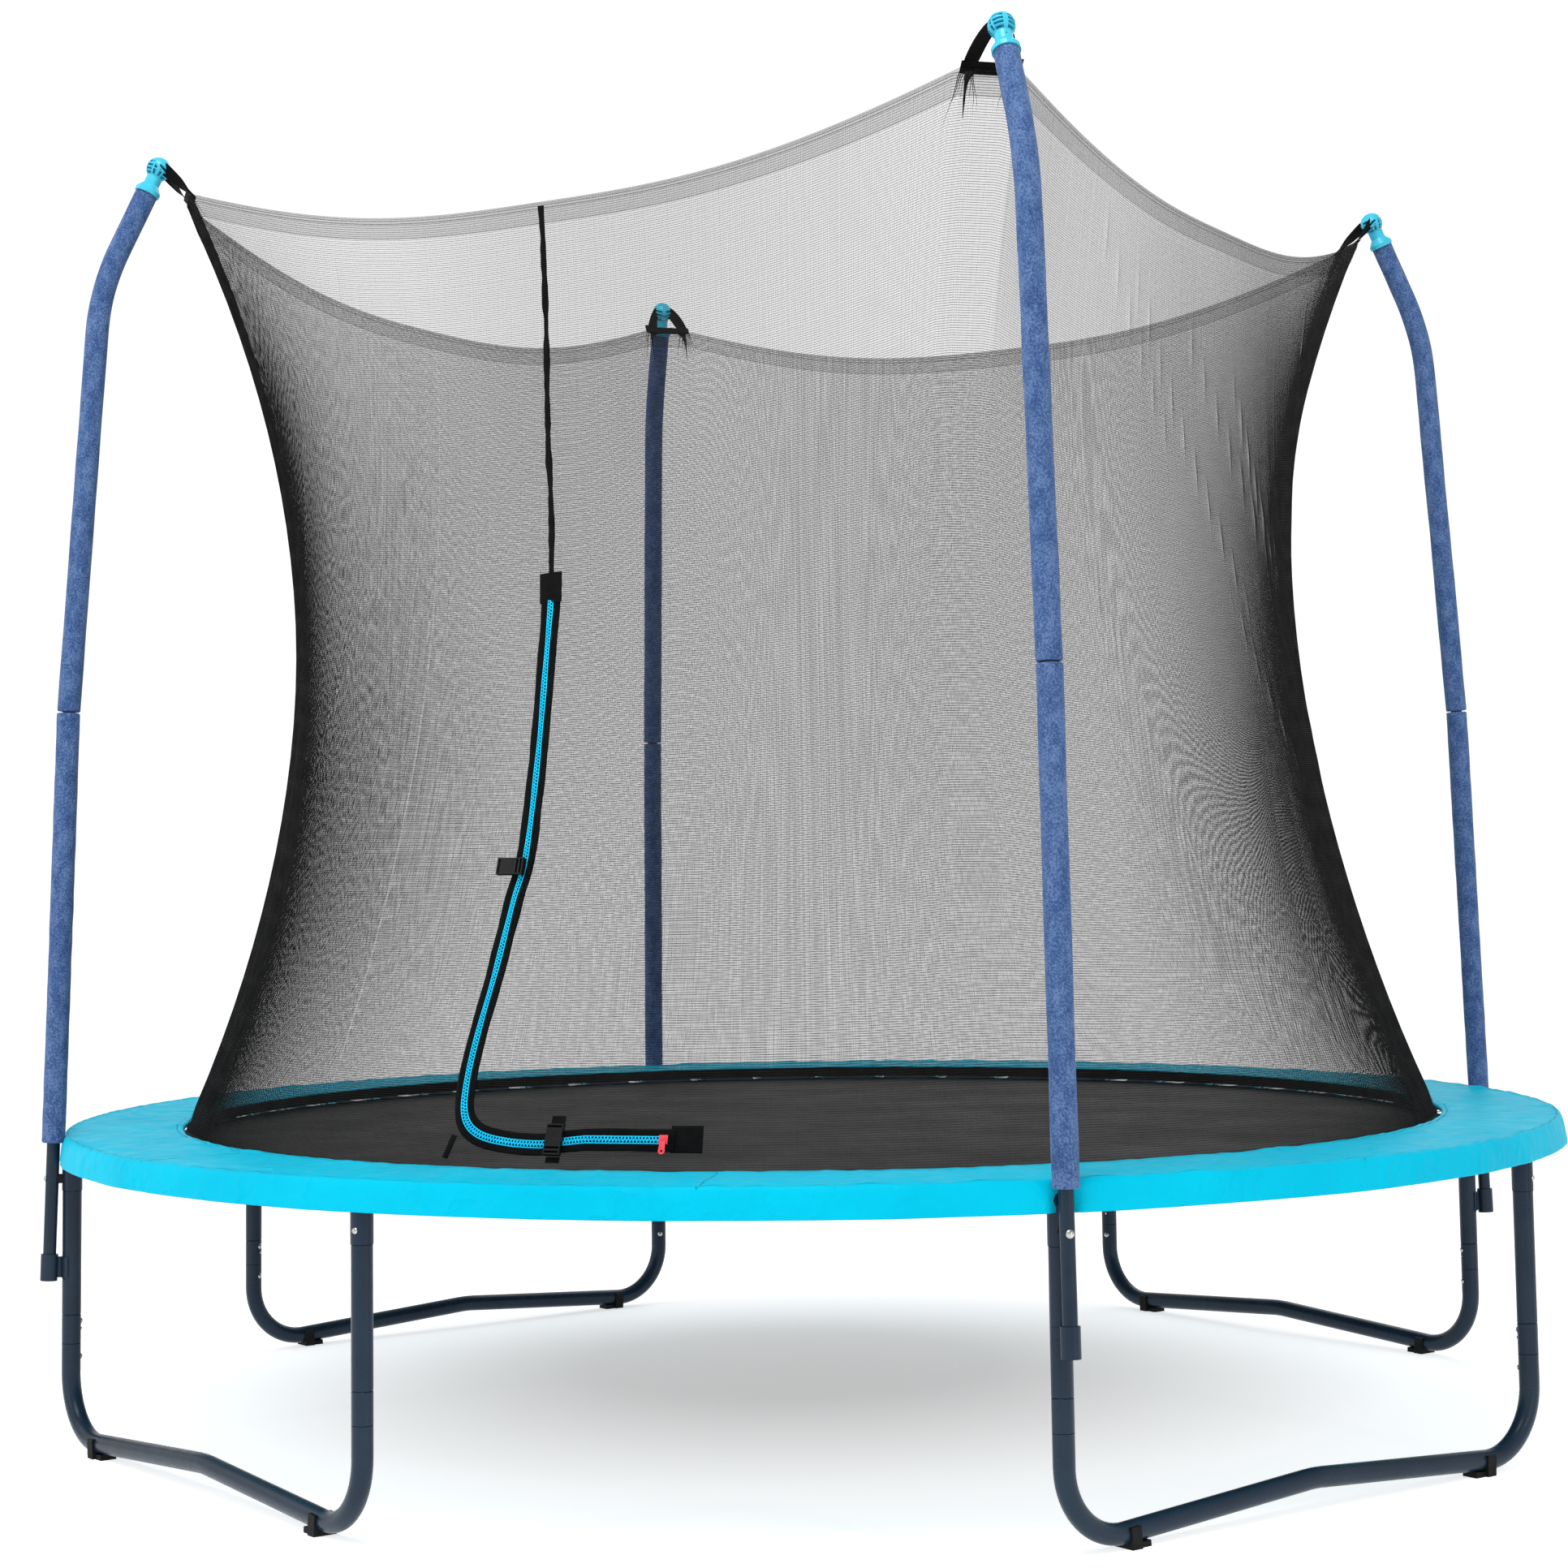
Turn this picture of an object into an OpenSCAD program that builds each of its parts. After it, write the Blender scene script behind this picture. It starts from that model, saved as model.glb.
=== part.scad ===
// Round garden trampoline: tube ring on four W-shaped legs, sprung mat, padded edge cover,
// and a safety net hung from four bent poles, with a zipped doorway on the -Y side.
// Millimetres, +Z up, origin on the ground under the centre of the ring.

/* [Ring and legs] */
// Radius of the ring's centreline
ring_r = 1482; // [1470:1:1483]
// Height of the ring's centreline
ring_z = 566; // [560:1:566]
// Outer diameter of the ring tube
ring_d = 40; // [39:0.5:40]
// Wall of the ring and leg tubes
tube_wall = 1.5; // [1.2:0.1:1.6]
// Outer diameter of the leg sockets under the ring
socket_d = 38.4; // [38.2:0.1:38.8]
// Outer diameter of the leg tubes
leg_d = 36.4; // [36:0.1:36.8]
// Radius of each upright's axis at the socket's lower end
upright_r = 1485; // [1480:1:1488]
// Height of the socket's lower end
socket_end_z = 494; // [485:1:500]
// Outward lean of the uprights, in degrees
splay = 0.78; // [0.6:0.01:1]
// Height of the upper end of the leg couplers
coupler_top_z = 255.4; // [250:0.2:262]
// Height of the lower end of the leg couplers
coupler_low_z = 199.3; // [195:0.1:205]
// Radius of the bend at each lower corner of a leg
corner_bend_r = 120; // [105:1:125]
// Distance from a leg's corner to the middle of its foot clip, along the ground rail
clip_inset = 135; // [133:1:145]
// Height of the ground rail's axis at the foot clips
rail_clip_z = 25.2; // [24:0.1:27]
// How much the ground rail rises from the clips to its middle
rail_rise = 28; // [20:1:32]

/* [Poles] */
// Outer diameter of the net poles
pole_d = 25; // [24:0.5:25.4]
// Wall of the net poles
pole_wall = 1.2; // [1:0.1:1.3]
// Outer diameter of the foam sleeves
foam_d = 44; // [40:1:45]
// Radius of a pole's axis at its lower end
pole_foot_r = 1530; // [1528:1:1534]
// Height of a pole's lower end
pole_foot_z = 335; // [330:1:340]
// Radius of a pole's axis at the joint between its two sections
pole_joint_r = 1484.5; // [1480:0.5:1488]
// Height of the joint between a pole's two sections
pole_joint_z = 1420; // [1400:5:1440]
// Radius of the point where the pole's upper straight lines meet
pole_bend_r = 1418; // [1412:1:1424]
// Height of the point where the pole's upper straight lines meet
pole_bend_z = 2250; // [2230:1:2260]
// Bend radius of a pole's top
pole_bend_radius = 500; // [400:10:520]
// Radius of the cap ball's centre
cap_r = 1304; // [1298:1:1310]
// Height of the cap ball's centre
cap_z = 2491; // [2485:1:2496]
// Diameter of the cap's ball
cap_ball_d = 47.5; // [46:0.5:49]

/* [Mat, springs and pad] */
// Radius of the jumping mat
mat_r = 1290; // [1280:1:1292]
// Height of the jumping mat's middle
mat_z = 570; // [569:0.5:571]
// How many springs hold the mat
spring_count = 56; // [48:8:64]
// Outer diameter of a spring's coils
spring_d = 17; // [14:0.5:20]
// Radius of the hole in the pad
pad_hole_r = 1268; // [1266:1:1272]
// Radius of the pad at its top seam
pad_seam_r = 1497; // [1496:0.5:1500]
// Radius of the pad at the bottom of its skirt
pad_skirt_r = 1510; // [1508:1:1514]

/* [Safety net] */
// Radius of the net at its lower hem
net_base_r = 1262; // [1258:1:1263]
// Height where the net leaves the pad's edge
net_base_z = 605; // [603:1:608]
// Radius of the net's top corners
net_corner_r = 1245.8; // [1240:0.2:1250]
// Height of the net's top corners
net_corner_z = 2433.5; // [2425:0.5:2440]
// Height of the net's top edge halfway between two poles
net_side_z = 2307.6; // [2290:0.2:2330]
// How far the net draws in at mid height, halfway between two poles
net_draw_side = 115; // [100:1:130]
// Further draw-in at the corners
net_draw_corner = 101; // [80:1:110]
// Thickness of the net
net_thickness = 1; // [0.8:0.1:1.2]

/* [Hidden] */
$fn = 48;

steel = "#2c3846";
zinc = "#d7dadc";
cyan = "#22c3e6";
cap_blue = "#41cdee";
foam_blue = "#5069a5";
cloth_black = "#17181a";
mesh_black = "#2a2b2d";
pull_red = "#eb4658";

// Azimuths: eight uprights, of which every second one carries a pole
upright_step = 45;
function upright_az(i) = -45 + upright_step * (i - 1);
function pole_az(i) = -45 + 90 * (i - 1);
half_step = upright_step / 2;
foot_r = upright_r + socket_end_z * tan(splay);

// Tube sizes at the push-fit joints
fit_gap = 0.1;
ring_bore = ring_d - 2 * tube_wall;
ring_spigot_d = ring_bore - 2 * fit_gap;
leg_bore = leg_d - 2 * tube_wall;
leg_spigot_d = leg_bore - 2 * fit_gap;
leg_spigot_len = 38;
leg_end_chamfer = 1.2;
socket_wall = 1.7;
socket_bore = socket_d - 2 * socket_wall;
socket_depth = 50;
post_spigot_d = socket_bore - 2 * fit_gap;
post_spigot_len = 44;
screw_d = 6;
screw_hole_d = 6.4;
socket_screw_z = 517;
post_screw_z = 242;
base_screw_z = 174;
button_d = 5;
button_z = 227.5;

// Leg plane: tilt of the plane and lean of the uprights inside it
leg_tilt = atan(tan(splay) * cos(half_step));
leg_lean = atan(tan(splay) * sin(half_step) * cos(leg_tilt));
leg_half = foot_r * sin(half_step);
leg_plane_r = foot_r * cos(half_step);
clip_u = leg_half - clip_inset;
rail_slope = atan(rail_rise / clip_u);
rail_mid_v = rail_clip_z + rail_rise;
mid_bend_r = 300;
// Corner where an upright's axis meets the ground rail's axis
corner_u = (leg_half - rail_mid_v * tan(leg_lean)) / (1 - tan(rail_slope) * tan(leg_lean));
corner_v = rail_mid_v - corner_u * tan(rail_slope);
corner_turn = 90 + rail_slope + leg_lean;
corner_tangent = corner_bend_r * tan(corner_turn / 2);
mid_tangent = mid_bend_r * tan(rail_slope);

// Pole directions, leaning inwards by these angles
lower_lean = atan((pole_foot_r - pole_joint_r) / (pole_joint_z - pole_foot_z));
upper_lean = atan((pole_joint_r - pole_bend_r) / (pole_bend_z - pole_joint_z));
top_lean = atan((pole_bend_r - cap_r) / (cap_z - pole_bend_z));
lower_len = norm([pole_foot_r - pole_joint_r, pole_joint_z - pole_foot_z]);
upper_len = norm([pole_joint_r - pole_bend_r, pole_bend_z - pole_joint_z]);
top_len = norm([pole_bend_r - cap_r, cap_z - pole_bend_z]);
pole_turn = top_lean - upper_lean;
pole_tangent = pole_bend_radius * tan(pole_turn / 2);
pole_bore = pole_d - 2 * pole_wall;
pole_spigot_len = 60;
// Distance from an upright's axis to its pole's axis, along the bolt that joins them
pole_bolt_reach = pole_foot_r - (socket_screw_z - pole_foot_z) * tan(lower_lean)
    - foot_r + socket_screw_z * tan(splay);
cap_socket_depth = 31;
cap_flange_z = -51;
foam_bore = pole_d + 0.8;
foam_foot_z = 587;
foam_foot_s = (foam_foot_z - pole_foot_z) / cos(lower_lean);
foam_joint_gap = 1.2;
cup_low_s = -13;
cup_top_s = 38;
cup_d = 33;

// Bending draws the tubes in by this much; the bends lap this far into the straight stretches
bend_thinning = 0.3;
bend_lap = 0.5;
function lap_turn(r) = bend_lap / r * 180 / PI;

// Net surface: radius at an azimuth and a height, its slope, and points on it
corner_half = 2.5;
side_half = 45 - corner_half;
net_bow = 0.0251;
edge_power = 2.965;
net_skirt_z = 578;
net_skirt_flare = 0.15;
function side_phi(az) = max(-side_half, min(side_half, (az + 405) % 90 - 45));
function edge_r(phi) = net_corner_r * cos(side_half) / cos(phi)
    * (1 + net_bow * (1 - pow(phi / side_half, 2)));
function edge_z(phi) = net_side_z + (net_corner_z - net_side_z) * pow(abs(phi) / side_half, edge_power);
function net_draw(phi) = net_draw_side + net_draw_corner * pow(phi / side_half, 4);
function net_level_r(phi, h) = net_base_r + (edge_r(phi) - net_base_r) * h
    - net_draw(phi) * 4 * h * (1 - h);
function net_r(az, z) = let (phi = side_phi(az))
    z < net_base_z ? net_base_r + (net_base_z - z) * net_skirt_flare
    : net_level_r(phi, (z - net_base_z) / (edge_z(phi) - net_base_z));
function net_slope(az, z) = (net_r(az, z + 5) - net_r(az, z - 5)) / 10;
function net_tilt(az, z) = -atan(net_slope(az, z));
function net_normal(az, z) = let (t = net_tilt(az, z)) [cos(az) * cos(t), sin(az) * cos(t), sin(t)];
function net_point(az, z) = [net_r(az, z) * cos(az), net_r(az, z) * sin(az), z];

// Straps from the net's corners to the caps: a bar on the net and a loop through the ball
strap_bar_r = 1244.8;
strap_bar_z = 2436;
strap_lean = atan(50 / 52);

// Straight stretch of the zip along the foot of the doorway, where the slider runs
run_az = -75;
run_r = 1247;
run_z = 649;
run_tilt = net_tilt(run_az, run_z);
run_from = -74;
run_to = 88;
tape_to = 95;
slider_y = 77;

// Zip and tapes as [azimuth, height] points on the net, from the top down
zip_route = [[-88, 1582], [-88, 1450], [-87.8, 1300], [-87.7, 1120], [-88.3, 1045], [-88.9, 920],
    [-89.4, 825], [-89.5, 745], [-89, 685], [-87.5, 655], [-84.8, 642], [-81.5, 639], [-78.6, 649]];
door_route = [[-89.7, 2300], [-89.6, 2100], [-89.4, 1900], [-88.6, 1740], [-88.2, 1632]];
top_patch_route = [[-88.2, 1632], [-88, 1584]];
end_patch_route = [[-70.6, 650], [-69.6, 650], [-68.5, 650]];
side_tape_route = [[-89.5, 650], [-89.9, 612]];

// Buckles: place on the net of the line where the two halves meet
buckle_upper_az = -88.5;
buckle_upper_z = 1104;
buckle_lower_az = -80.3;
buckle_lower_z = 638;
buckle_x = 7.2;
buckle_t = 9;
buckle_w = 30;
webbing_w = 25;

// Placement helpers
module on_upright(i)
    rotate([0, 0, upright_az(i)]) translate([foot_r, 0, 0]) rotate([0, -splay, 0]) children();
module on_leg(i)
    rotate([0, 0, upright_az(2 * i - 1) + half_step]) translate([leg_plane_r, 0, 0])
        rotate([0, -leg_tilt, 0]) children();
module on_pole_lower(i)
    rotate([0, 0, pole_az(i)]) translate([pole_foot_r, 0, pole_foot_z])
        rotate([0, -lower_lean, 0]) children();
module on_pole_upper(i)
    rotate([0, 0, pole_az(i)]) translate([pole_joint_r, 0, pole_joint_z])
        rotate([0, -upper_lean, 0]) children();
module on_cap(i)
    rotate([0, 0, pole_az(i)]) translate([cap_r, 0, cap_z]) rotate([0, -top_lean, 0]) children();
module on_strap(i)
    rotate([0, 0, pole_az(i)]) translate([strap_bar_r, 0, strap_bar_z])
        rotate([0, strap_lean, 0]) children();
module on_net(az, z)
    rotate([0, 0, az]) translate([net_r(az, z), 0, z]) rotate([0, -net_tilt(az, z), 0]) children();
module on_zip_run()
    rotate([0, 0, run_az]) translate([run_r, 0, run_z]) rotate([0, -run_tilt, 0]) children();

// Shared shapes
module ring_arc(d, from, to)
    translate([0, 0, ring_z]) rotate([0, 0, from]) rotate_extrude(angle = to - from, $fn = 96)
        translate([ring_r, 0]) circle(d = d);

// Arc of round bar in the YZ plane, counter-clockwise from an angle, about a centre.
// It is a hair thinner than the straight bars and reaches a hair into them.
module arc_yz(centre, r, from, turn, d)
    translate([0, centre[0], centre[1]]) rotate([90, 0, 90]) rotate([0, 0, from - lap_turn(r)])
        rotate_extrude(angle = turn + 2 * lap_turn(r), $fn = 96) translate([r, 0])
            circle(d = d - bend_thinning);

// Straight round bar in the YZ plane from one point to another
module rod_yz(p, q, d)
    translate([0, p[0], p[1]]) rotate([-atan2(q[0] - p[0], q[1] - p[1]), 0, 0])
        cylinder(d = d, h = norm(q - p));

// Hole from a tube's axis out through its wall, at a height, towards +X or -X
module wall_hole(z, d, side)
    translate([0, 0, z]) rotate([0, side * 90, 0]) cylinder(d = d, h = 80);

// ---- Ring ----
module frame_rail(i) {
    az = upright_az(i);
    crimp_turn = 1;
    spigot_turn = 2.2;
    weld_depth = 6;
    color(steel) difference() {
        union() {
            ring_arc(ring_d, az - half_step, az + half_step);
            ring_arc(ring_spigot_d, az + half_step - crimp_turn / 2, az + half_step + spigot_turn);
            on_upright(i) translate([0, 0, socket_end_z])
                cylinder(d = socket_d, h = ring_z - socket_end_z - weld_depth);
        }
        ring_arc(ring_bore, az - half_step - 1, az + half_step - crimp_turn);
        ring_arc(ring_spigot_d - 2 * tube_wall, az + half_step - crimp_turn * 1.5,
            az + half_step + spigot_turn + 1);
        on_upright(i) translate([0, 0, socket_end_z - 1]) cylinder(d = socket_bore, h = socket_depth);
        on_upright(i) wall_hole(socket_screw_z, screw_hole_d, 1);
    }
}

// ---- Legs ----
// Length of leg tube with both rims chamfered
module chamfered_bar(from, to) {
    c = leg_end_chamfer;
    translate([0, 0, from]) cylinder(d1 = leg_d - 2 * c, d2 = leg_d, h = c);
    translate([0, 0, from + c]) cylinder(d = leg_d, h = to - from - 2 * c);
    translate([0, 0, to - c]) cylinder(d1 = leg_d, d2 = leg_d - 2 * c, h = c);
}

module leg_post(i) {
    neck_z = socket_end_z - 40;
    color(steel) on_upright(i) difference() {
        union() {
            chamfered_bar(coupler_top_z, socket_end_z);
            translate([0, 0, socket_end_z - leg_end_chamfer])
                cylinder(d = post_spigot_d, h = post_spigot_len);
            translate([0, 0, coupler_top_z - leg_spigot_len])
                cylinder(d = leg_spigot_d, h = leg_spigot_len + leg_end_chamfer);
        }
        translate([0, 0, coupler_top_z - leg_spigot_len - 1])
            cylinder(d = leg_spigot_d - 2 * tube_wall, h = socket_end_z);
        translate([0, 0, coupler_top_z + leg_end_chamfer])
            cylinder(d = leg_bore, h = neck_z - coupler_top_z);
        wall_hole(socket_screw_z, screw_hole_d, 1);
        wall_hole(post_screw_z, screw_hole_d, -1);
        wall_hole(button_z, screw_hole_d, -1);
    }
}

// Short sleeve between a leg post and the leg's base, with its own spigot below
module leg_coupler(i) {
    neck = 5;
    on_upright(i) difference() {
        union() {
            chamfered_bar(coupler_low_z, coupler_top_z);
            translate([0, 0, coupler_low_z - leg_spigot_len])
                cylinder(d = leg_spigot_d, h = leg_spigot_len + leg_end_chamfer);
        }
        translate([0, 0, coupler_low_z - leg_spigot_len - 1])
            cylinder(d = leg_spigot_d - 2 * tube_wall, h = leg_spigot_len + neck + 2);
        translate([0, 0, coupler_low_z + neck]) cylinder(d = leg_bore, h = coupler_top_z);
        wall_hole(post_screw_z, screw_hole_d, -1);
        wall_hole(button_z, screw_hole_d, -1);
        wall_hole(base_screw_z, screw_hole_d, -1);
    }
}

module leg_couplers() color(steel) for (i = [1:8]) leg_coupler(i);

// Solid bar along one leg's ground rail, both corner bends and both upright stubs
module leg_path(d, top_extra) {
    arm_dir = [cos(rail_slope), -sin(rail_slope)];
    up_dir = [-sin(leg_lean), cos(leg_lean)];
    middle = [0, rail_mid_v];
    corner = [corner_u, corner_v];
    arm_start = middle + arm_dir * mid_tangent;
    arm_end = corner - arm_dir * corner_tangent;
    stub_start = corner + up_dir * corner_tangent;
    stub_len = coupler_low_z / cos(splay) - corner_v - corner_tangent + top_extra;
    bend_centre = arm_end + corner_bend_r * [sin(rail_slope), cos(rail_slope)];
    mid_centre = [0, arm_start[1] - mid_bend_r * cos(rail_slope)];
    arc_yz(mid_centre, mid_bend_r, 90 - rail_slope, 2 * rail_slope, d);
    for (side = [0, 1]) mirror([0, side, 0]) {
        rod_yz(arm_start, arm_end, d);
        arc_yz(bend_centre, corner_bend_r, 270 - rail_slope, corner_turn, d);
        rod_yz(stub_start, stub_start + up_dir * stub_len, d);
    }
}

module w_base(i) {
    color(steel) difference() {
        on_leg(i) leg_path(leg_d, 0);
        on_leg(i) leg_path(leg_bore, 1);
        for (k = [2 * i - 1, 2 * i]) on_upright(k) wall_hole(base_screw_z, screw_hole_d, -1);
    }
}

// Rubber clip that grips the ground rail from below and stands flat on the ground
module foot_clip(side) {
    grip_w = 22;
    grip_depth = leg_d + 7;
    lip_h = 11;
    pad_len = 46;
    pad_depth = 32;
    sink = 40;
    cover = leg_d / 2 - 1;
    mirror([0, side, 0]) translate([0, clip_u, rail_clip_z]) rotate([-rail_slope, 0, 0])
        difference() {
            union() {
                translate([-grip_depth / 2, -grip_w / 2, -sink])
                    cube([grip_depth, grip_w, sink + lip_h]);
                translate([-pad_depth / 2, -pad_len + grip_w / 2, -sink])
                    cube([pad_depth, pad_len, sink - cover]);
            }
            rotate([-90, 0, 0]) cylinder(d = leg_d + 2 * fit_gap, h = 200, center = true);
        }
}

module foot_clips() {
    ground = 4000;
    color(cloth_black) for (i = [1:4]) for (side = [0, 1]) intersection() {
        on_leg(i) foot_clip(side);
        translate([-ground / 2, -ground / 2, 0]) cube([ground, ground, 60]);
    }
}

// ---- Poles ----
// Solid bar along a pole's upper section, from the joint to a length past the bend
module upper_path(d, from_s, to_s) {
    bend_z = upper_len - pole_tangent;
    bend_end = [-pole_bend_radius * (1 - cos(pole_turn)), bend_z + pole_bend_radius * sin(pole_turn)];
    translate([0, 0, from_s]) cylinder(d = d, h = bend_z - from_s);
    translate([-pole_bend_radius, 0, bend_z]) rotate([90, 0, 0])
        rotate([0, 0, -lap_turn(pole_bend_radius)])
            rotate_extrude(angle = pole_turn + 2 * lap_turn(pole_bend_radius), $fn = 96)
                translate([pole_bend_radius, 0]) circle(d = d - bend_thinning);
    translate([bend_end[0], 0, bend_end[1]]) rotate([0, -pole_turn, 0])
        cylinder(d = d, h = to_s);
}

module pole_lower(i) {
    spigot_d = pole_bore - 2 * fit_gap;
    neck = 20;
    seam_gap = 0.6;
    color(steel) difference() {
        union() {
            on_pole_lower(i) cylinder(d = pole_d, h = lower_len - seam_gap);
            on_pole_upper(i) translate([0, 0, -neck / 2])
                cylinder(d = spigot_d, h = pole_spigot_len + neck / 2);
        }
        on_pole_lower(i) translate([0, 0, -1]) cylinder(d = pole_bore, h = lower_len - neck);
        on_pole_upper(i) translate([0, 0, -neck - 5])
            cylinder(d = spigot_d - 2 * pole_wall, h = pole_spigot_len + 2 * neck);
        on_upright(2 * i - 1) wall_hole(socket_screw_z, screw_hole_d, 1);
    }
}

module pole_upper(i) {
    inside_cap = top_len - pole_tangent - cap_socket_depth;
    color(steel) on_pole_upper(i) difference() {
        upper_path(pole_d, 0, inside_cap);
        upper_path(pole_bore, -1, inside_cap + 1);
    }
}

module foam_lower() {
    color(foam_blue) for (i = [1:4]) on_pole_lower(i) translate([0, 0, foam_foot_s])
        difference() {
            cylinder(d = foam_d, h = lower_len - foam_foot_s - foam_joint_gap);
            translate([0, 0, -1]) cylinder(d = foam_bore, h = lower_len);
        }
}

module foam_upper() {
    foam_end = top_len - pole_tangent + cap_flange_z - fit_gap;
    color(foam_blue) for (i = [1:4]) on_pole_upper(i) difference() {
        upper_path(foam_d, foam_joint_gap, foam_end);
        upper_path(foam_bore, 0, foam_end + 1);
    }
}

// Plastic cap: a caged ball on a neck that flares over the foam's end
cap_wall = 3;
cap_neck_r = 15.5;
cap_neck_low_z = -34;
cap_rim_r = 24.8;
cap_rim_h = 4;
cap_seat_r = pole_d / 2 + fit_gap;
cap_seat_z = 0.3 - cap_socket_depth;
cap_hood_r = foam_d / 2 + 0.2;
cap_hood_z = cap_flange_z + 0.6;
cap_floor_z = 3.5 - cap_ball_d / 2;
cap_neck_top_z = 0.6 - cap_ball_d / 2 * cos(asin(2 * cap_neck_r / cap_ball_d));
// The ball's windows: four rows of two in its front and back, and two rows beside the strap's slot
window_z = [-16.8, -10.2, -3.2, 4.8];
window_h = 4.7;
window_from = 11;
window_to = 58;
side_window_z = [-15.8, -4.2];
side_window_h = 9.6;
side_window_from = 66;
side_window_to = 81;
cap_screw_z = -27;
// Walls inside the ball: one across its middle and one on each side of the strap's slot
cap_rib = 3;
strap_slot = [4.4, 60, 33];
strap_slot_z = 50;

// Wedge of the ball's wall between two angles from its front, and its mirror images
module cap_window(from, to, low, height) {
    reach = cap_ball_d;
    mid = (from + to) / 2;
    for (front = [0, 1]) for (side = [0, 1])
        mirror([front, 0, 0]) mirror([0, side, 0]) translate([0, 0, low]) linear_extrude(height)
            polygon([[0, 0], reach * [cos(from), sin(from)], reach * [cos(mid), sin(mid)],
                reach * [cos(to), sin(to)]]);
}

module cap_shell() difference() {
    union() {
        difference() {
            sphere(d = cap_ball_d, $fn = 64);
            sphere(d = cap_ball_d - 2 * cap_wall, $fn = 64);
        }
        rotate_extrude($fn = 64) polygon([
            [cap_seat_r, cap_flange_z], [cap_seat_r, cap_seat_z], [0, cap_seat_z], [0, cap_floor_z],
            [cap_neck_r, cap_neck_top_z], [cap_neck_r, cap_neck_low_z],
            [cap_rim_r, cap_flange_z + cap_rim_h], [cap_rim_r, cap_flange_z - cap_rim_h],
            [cap_hood_r, cap_flange_z - cap_rim_h], [cap_hood_r, cap_hood_z]]);
    }
    for (z = window_z) cap_window(window_from, window_to, z, window_h);
    for (z = side_window_z) cap_window(side_window_from, side_window_to, z, side_window_h);
    wall_hole(cap_screw_z, 3, 1);
}

module pole_cap(i) color(cap_blue) difference() {
    union() {
        on_cap(i) cap_shell();
        intersection() {
            on_cap(i) sphere(d = cap_ball_d - cap_wall, $fn = 64);
            union() {
                on_cap(i) cube([cap_ball_d, cap_rib, cap_ball_d], center = true);
                on_strap(i) translate([-strap_slot[0] / 2 - cap_rib, -cap_ball_d, 0])
                    cube([strap_slot[0] + 2 * cap_rib, 2 * cap_ball_d, 2 * strap_slot_z]);
            }
        }
    }
    // slot across the ball that holds the strap's loop
    on_strap(i) translate([-strap_slot[0] / 2, -strap_slot[1] / 2, strap_slot_z]) cube(strap_slot);
}

// Cup that carries a pole's lower end, with a saddle welded to the leg post
module pole_bracket(i) {
    saddle_wall = 2.5;
    saddle_from = 8;
    web = 5;
    size = 40;
    low_z = pole_foot_z - 8;
    difference() {
        union() {
            on_pole_lower(i) translate([0, 0, cup_low_s]) cylinder(d = cup_d, h = cup_top_s - cup_low_s);
            on_upright(2 * i - 1) translate([0, -web / 2, low_z]) cube([size, web, size]);
            on_upright(2 * i - 1) translate([0, 0, low_z]) intersection() {
                cylinder(d = leg_d + 2 * saddle_wall, h = size);
                translate([saddle_from, -size / 2, 0]) cube(size);
            }
        }
        on_pole_lower(i) cylinder(d = pole_d + 2 * fit_gap, h = size + cup_top_s);
        on_upright(2 * i - 1) translate([0, 0, coupler_top_z]) cylinder(d = leg_d + fit_gap, h = 200);
    }
}

module pole_brackets() color(steel) for (i = [1:4]) pole_bracket(i);

module pole_spacers() {
    spacer_d = 18;
    spacer_from = 14;
    color(cloth_black) for (i = [1:4]) difference() {
        on_upright(2 * i - 1) translate([spacer_from, 0, socket_screw_z]) rotate([0, 90, 0])
            cylinder(d = spacer_d, h = spacer_d);
        on_upright(2 * i - 1) translate([0, 0, socket_end_z - 10])
            cylinder(d = socket_d + fit_gap, h = 60);
        on_pole_lower(i) cylinder(d = pole_d + fit_gap, h = 300);
        on_upright(2 * i - 1) wall_hole(socket_screw_z, screw_hole_d, 1);
    }
}

// Domed screw along +X whose head sits at x = 0 and whose shank runs back towards -X
head_gap = 0.2;
module dome_screw(head_d, shank) {
    head_h = 3.2;
    dome_r = (head_d * head_d / 4 + head_h * head_h) / (2 * head_h);
    rotate([0, 90, 0]) rotate_extrude() {
        intersection() {
            translate([0, head_h - dome_r]) circle(r = dome_r, $fn = 64);
            square([head_d / 2, head_h]);
        }
        translate([0, -shank]) square([screw_d / 2, shank + 0.5]);
    }
}

module pole_bolts()
    color(zinc) for (i = [1:4]) on_upright(2 * i - 1)
        translate([pole_bolt_reach + pole_d / 2 + 2 * head_gap, 0, socket_screw_z])
            dome_screw(14, 58);

module socket_screws()
    color(zinc) for (i = [1:4]) on_upright(2 * i)
        translate([socket_d / 2 + head_gap, 0, socket_screw_z]) dome_screw(11, 12);

// Screws and snap buttons that face inwards on every leg's sleeve
module coupler_screws() {
    button_len = 8;
    button_proud = 2;
    color(zinc) for (i = [1:8]) on_upright(i) rotate([0, 0, 180]) {
        for (z = [post_screw_z, base_screw_z])
            translate([leg_d / 2 + head_gap, 0, z]) dome_screw(11.5, 10);
        translate([leg_d / 2 + button_proud - button_len, 0, button_z]) rotate([0, 90, 0])
            cylinder(d = button_d, h = button_len);
    }
}

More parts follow.
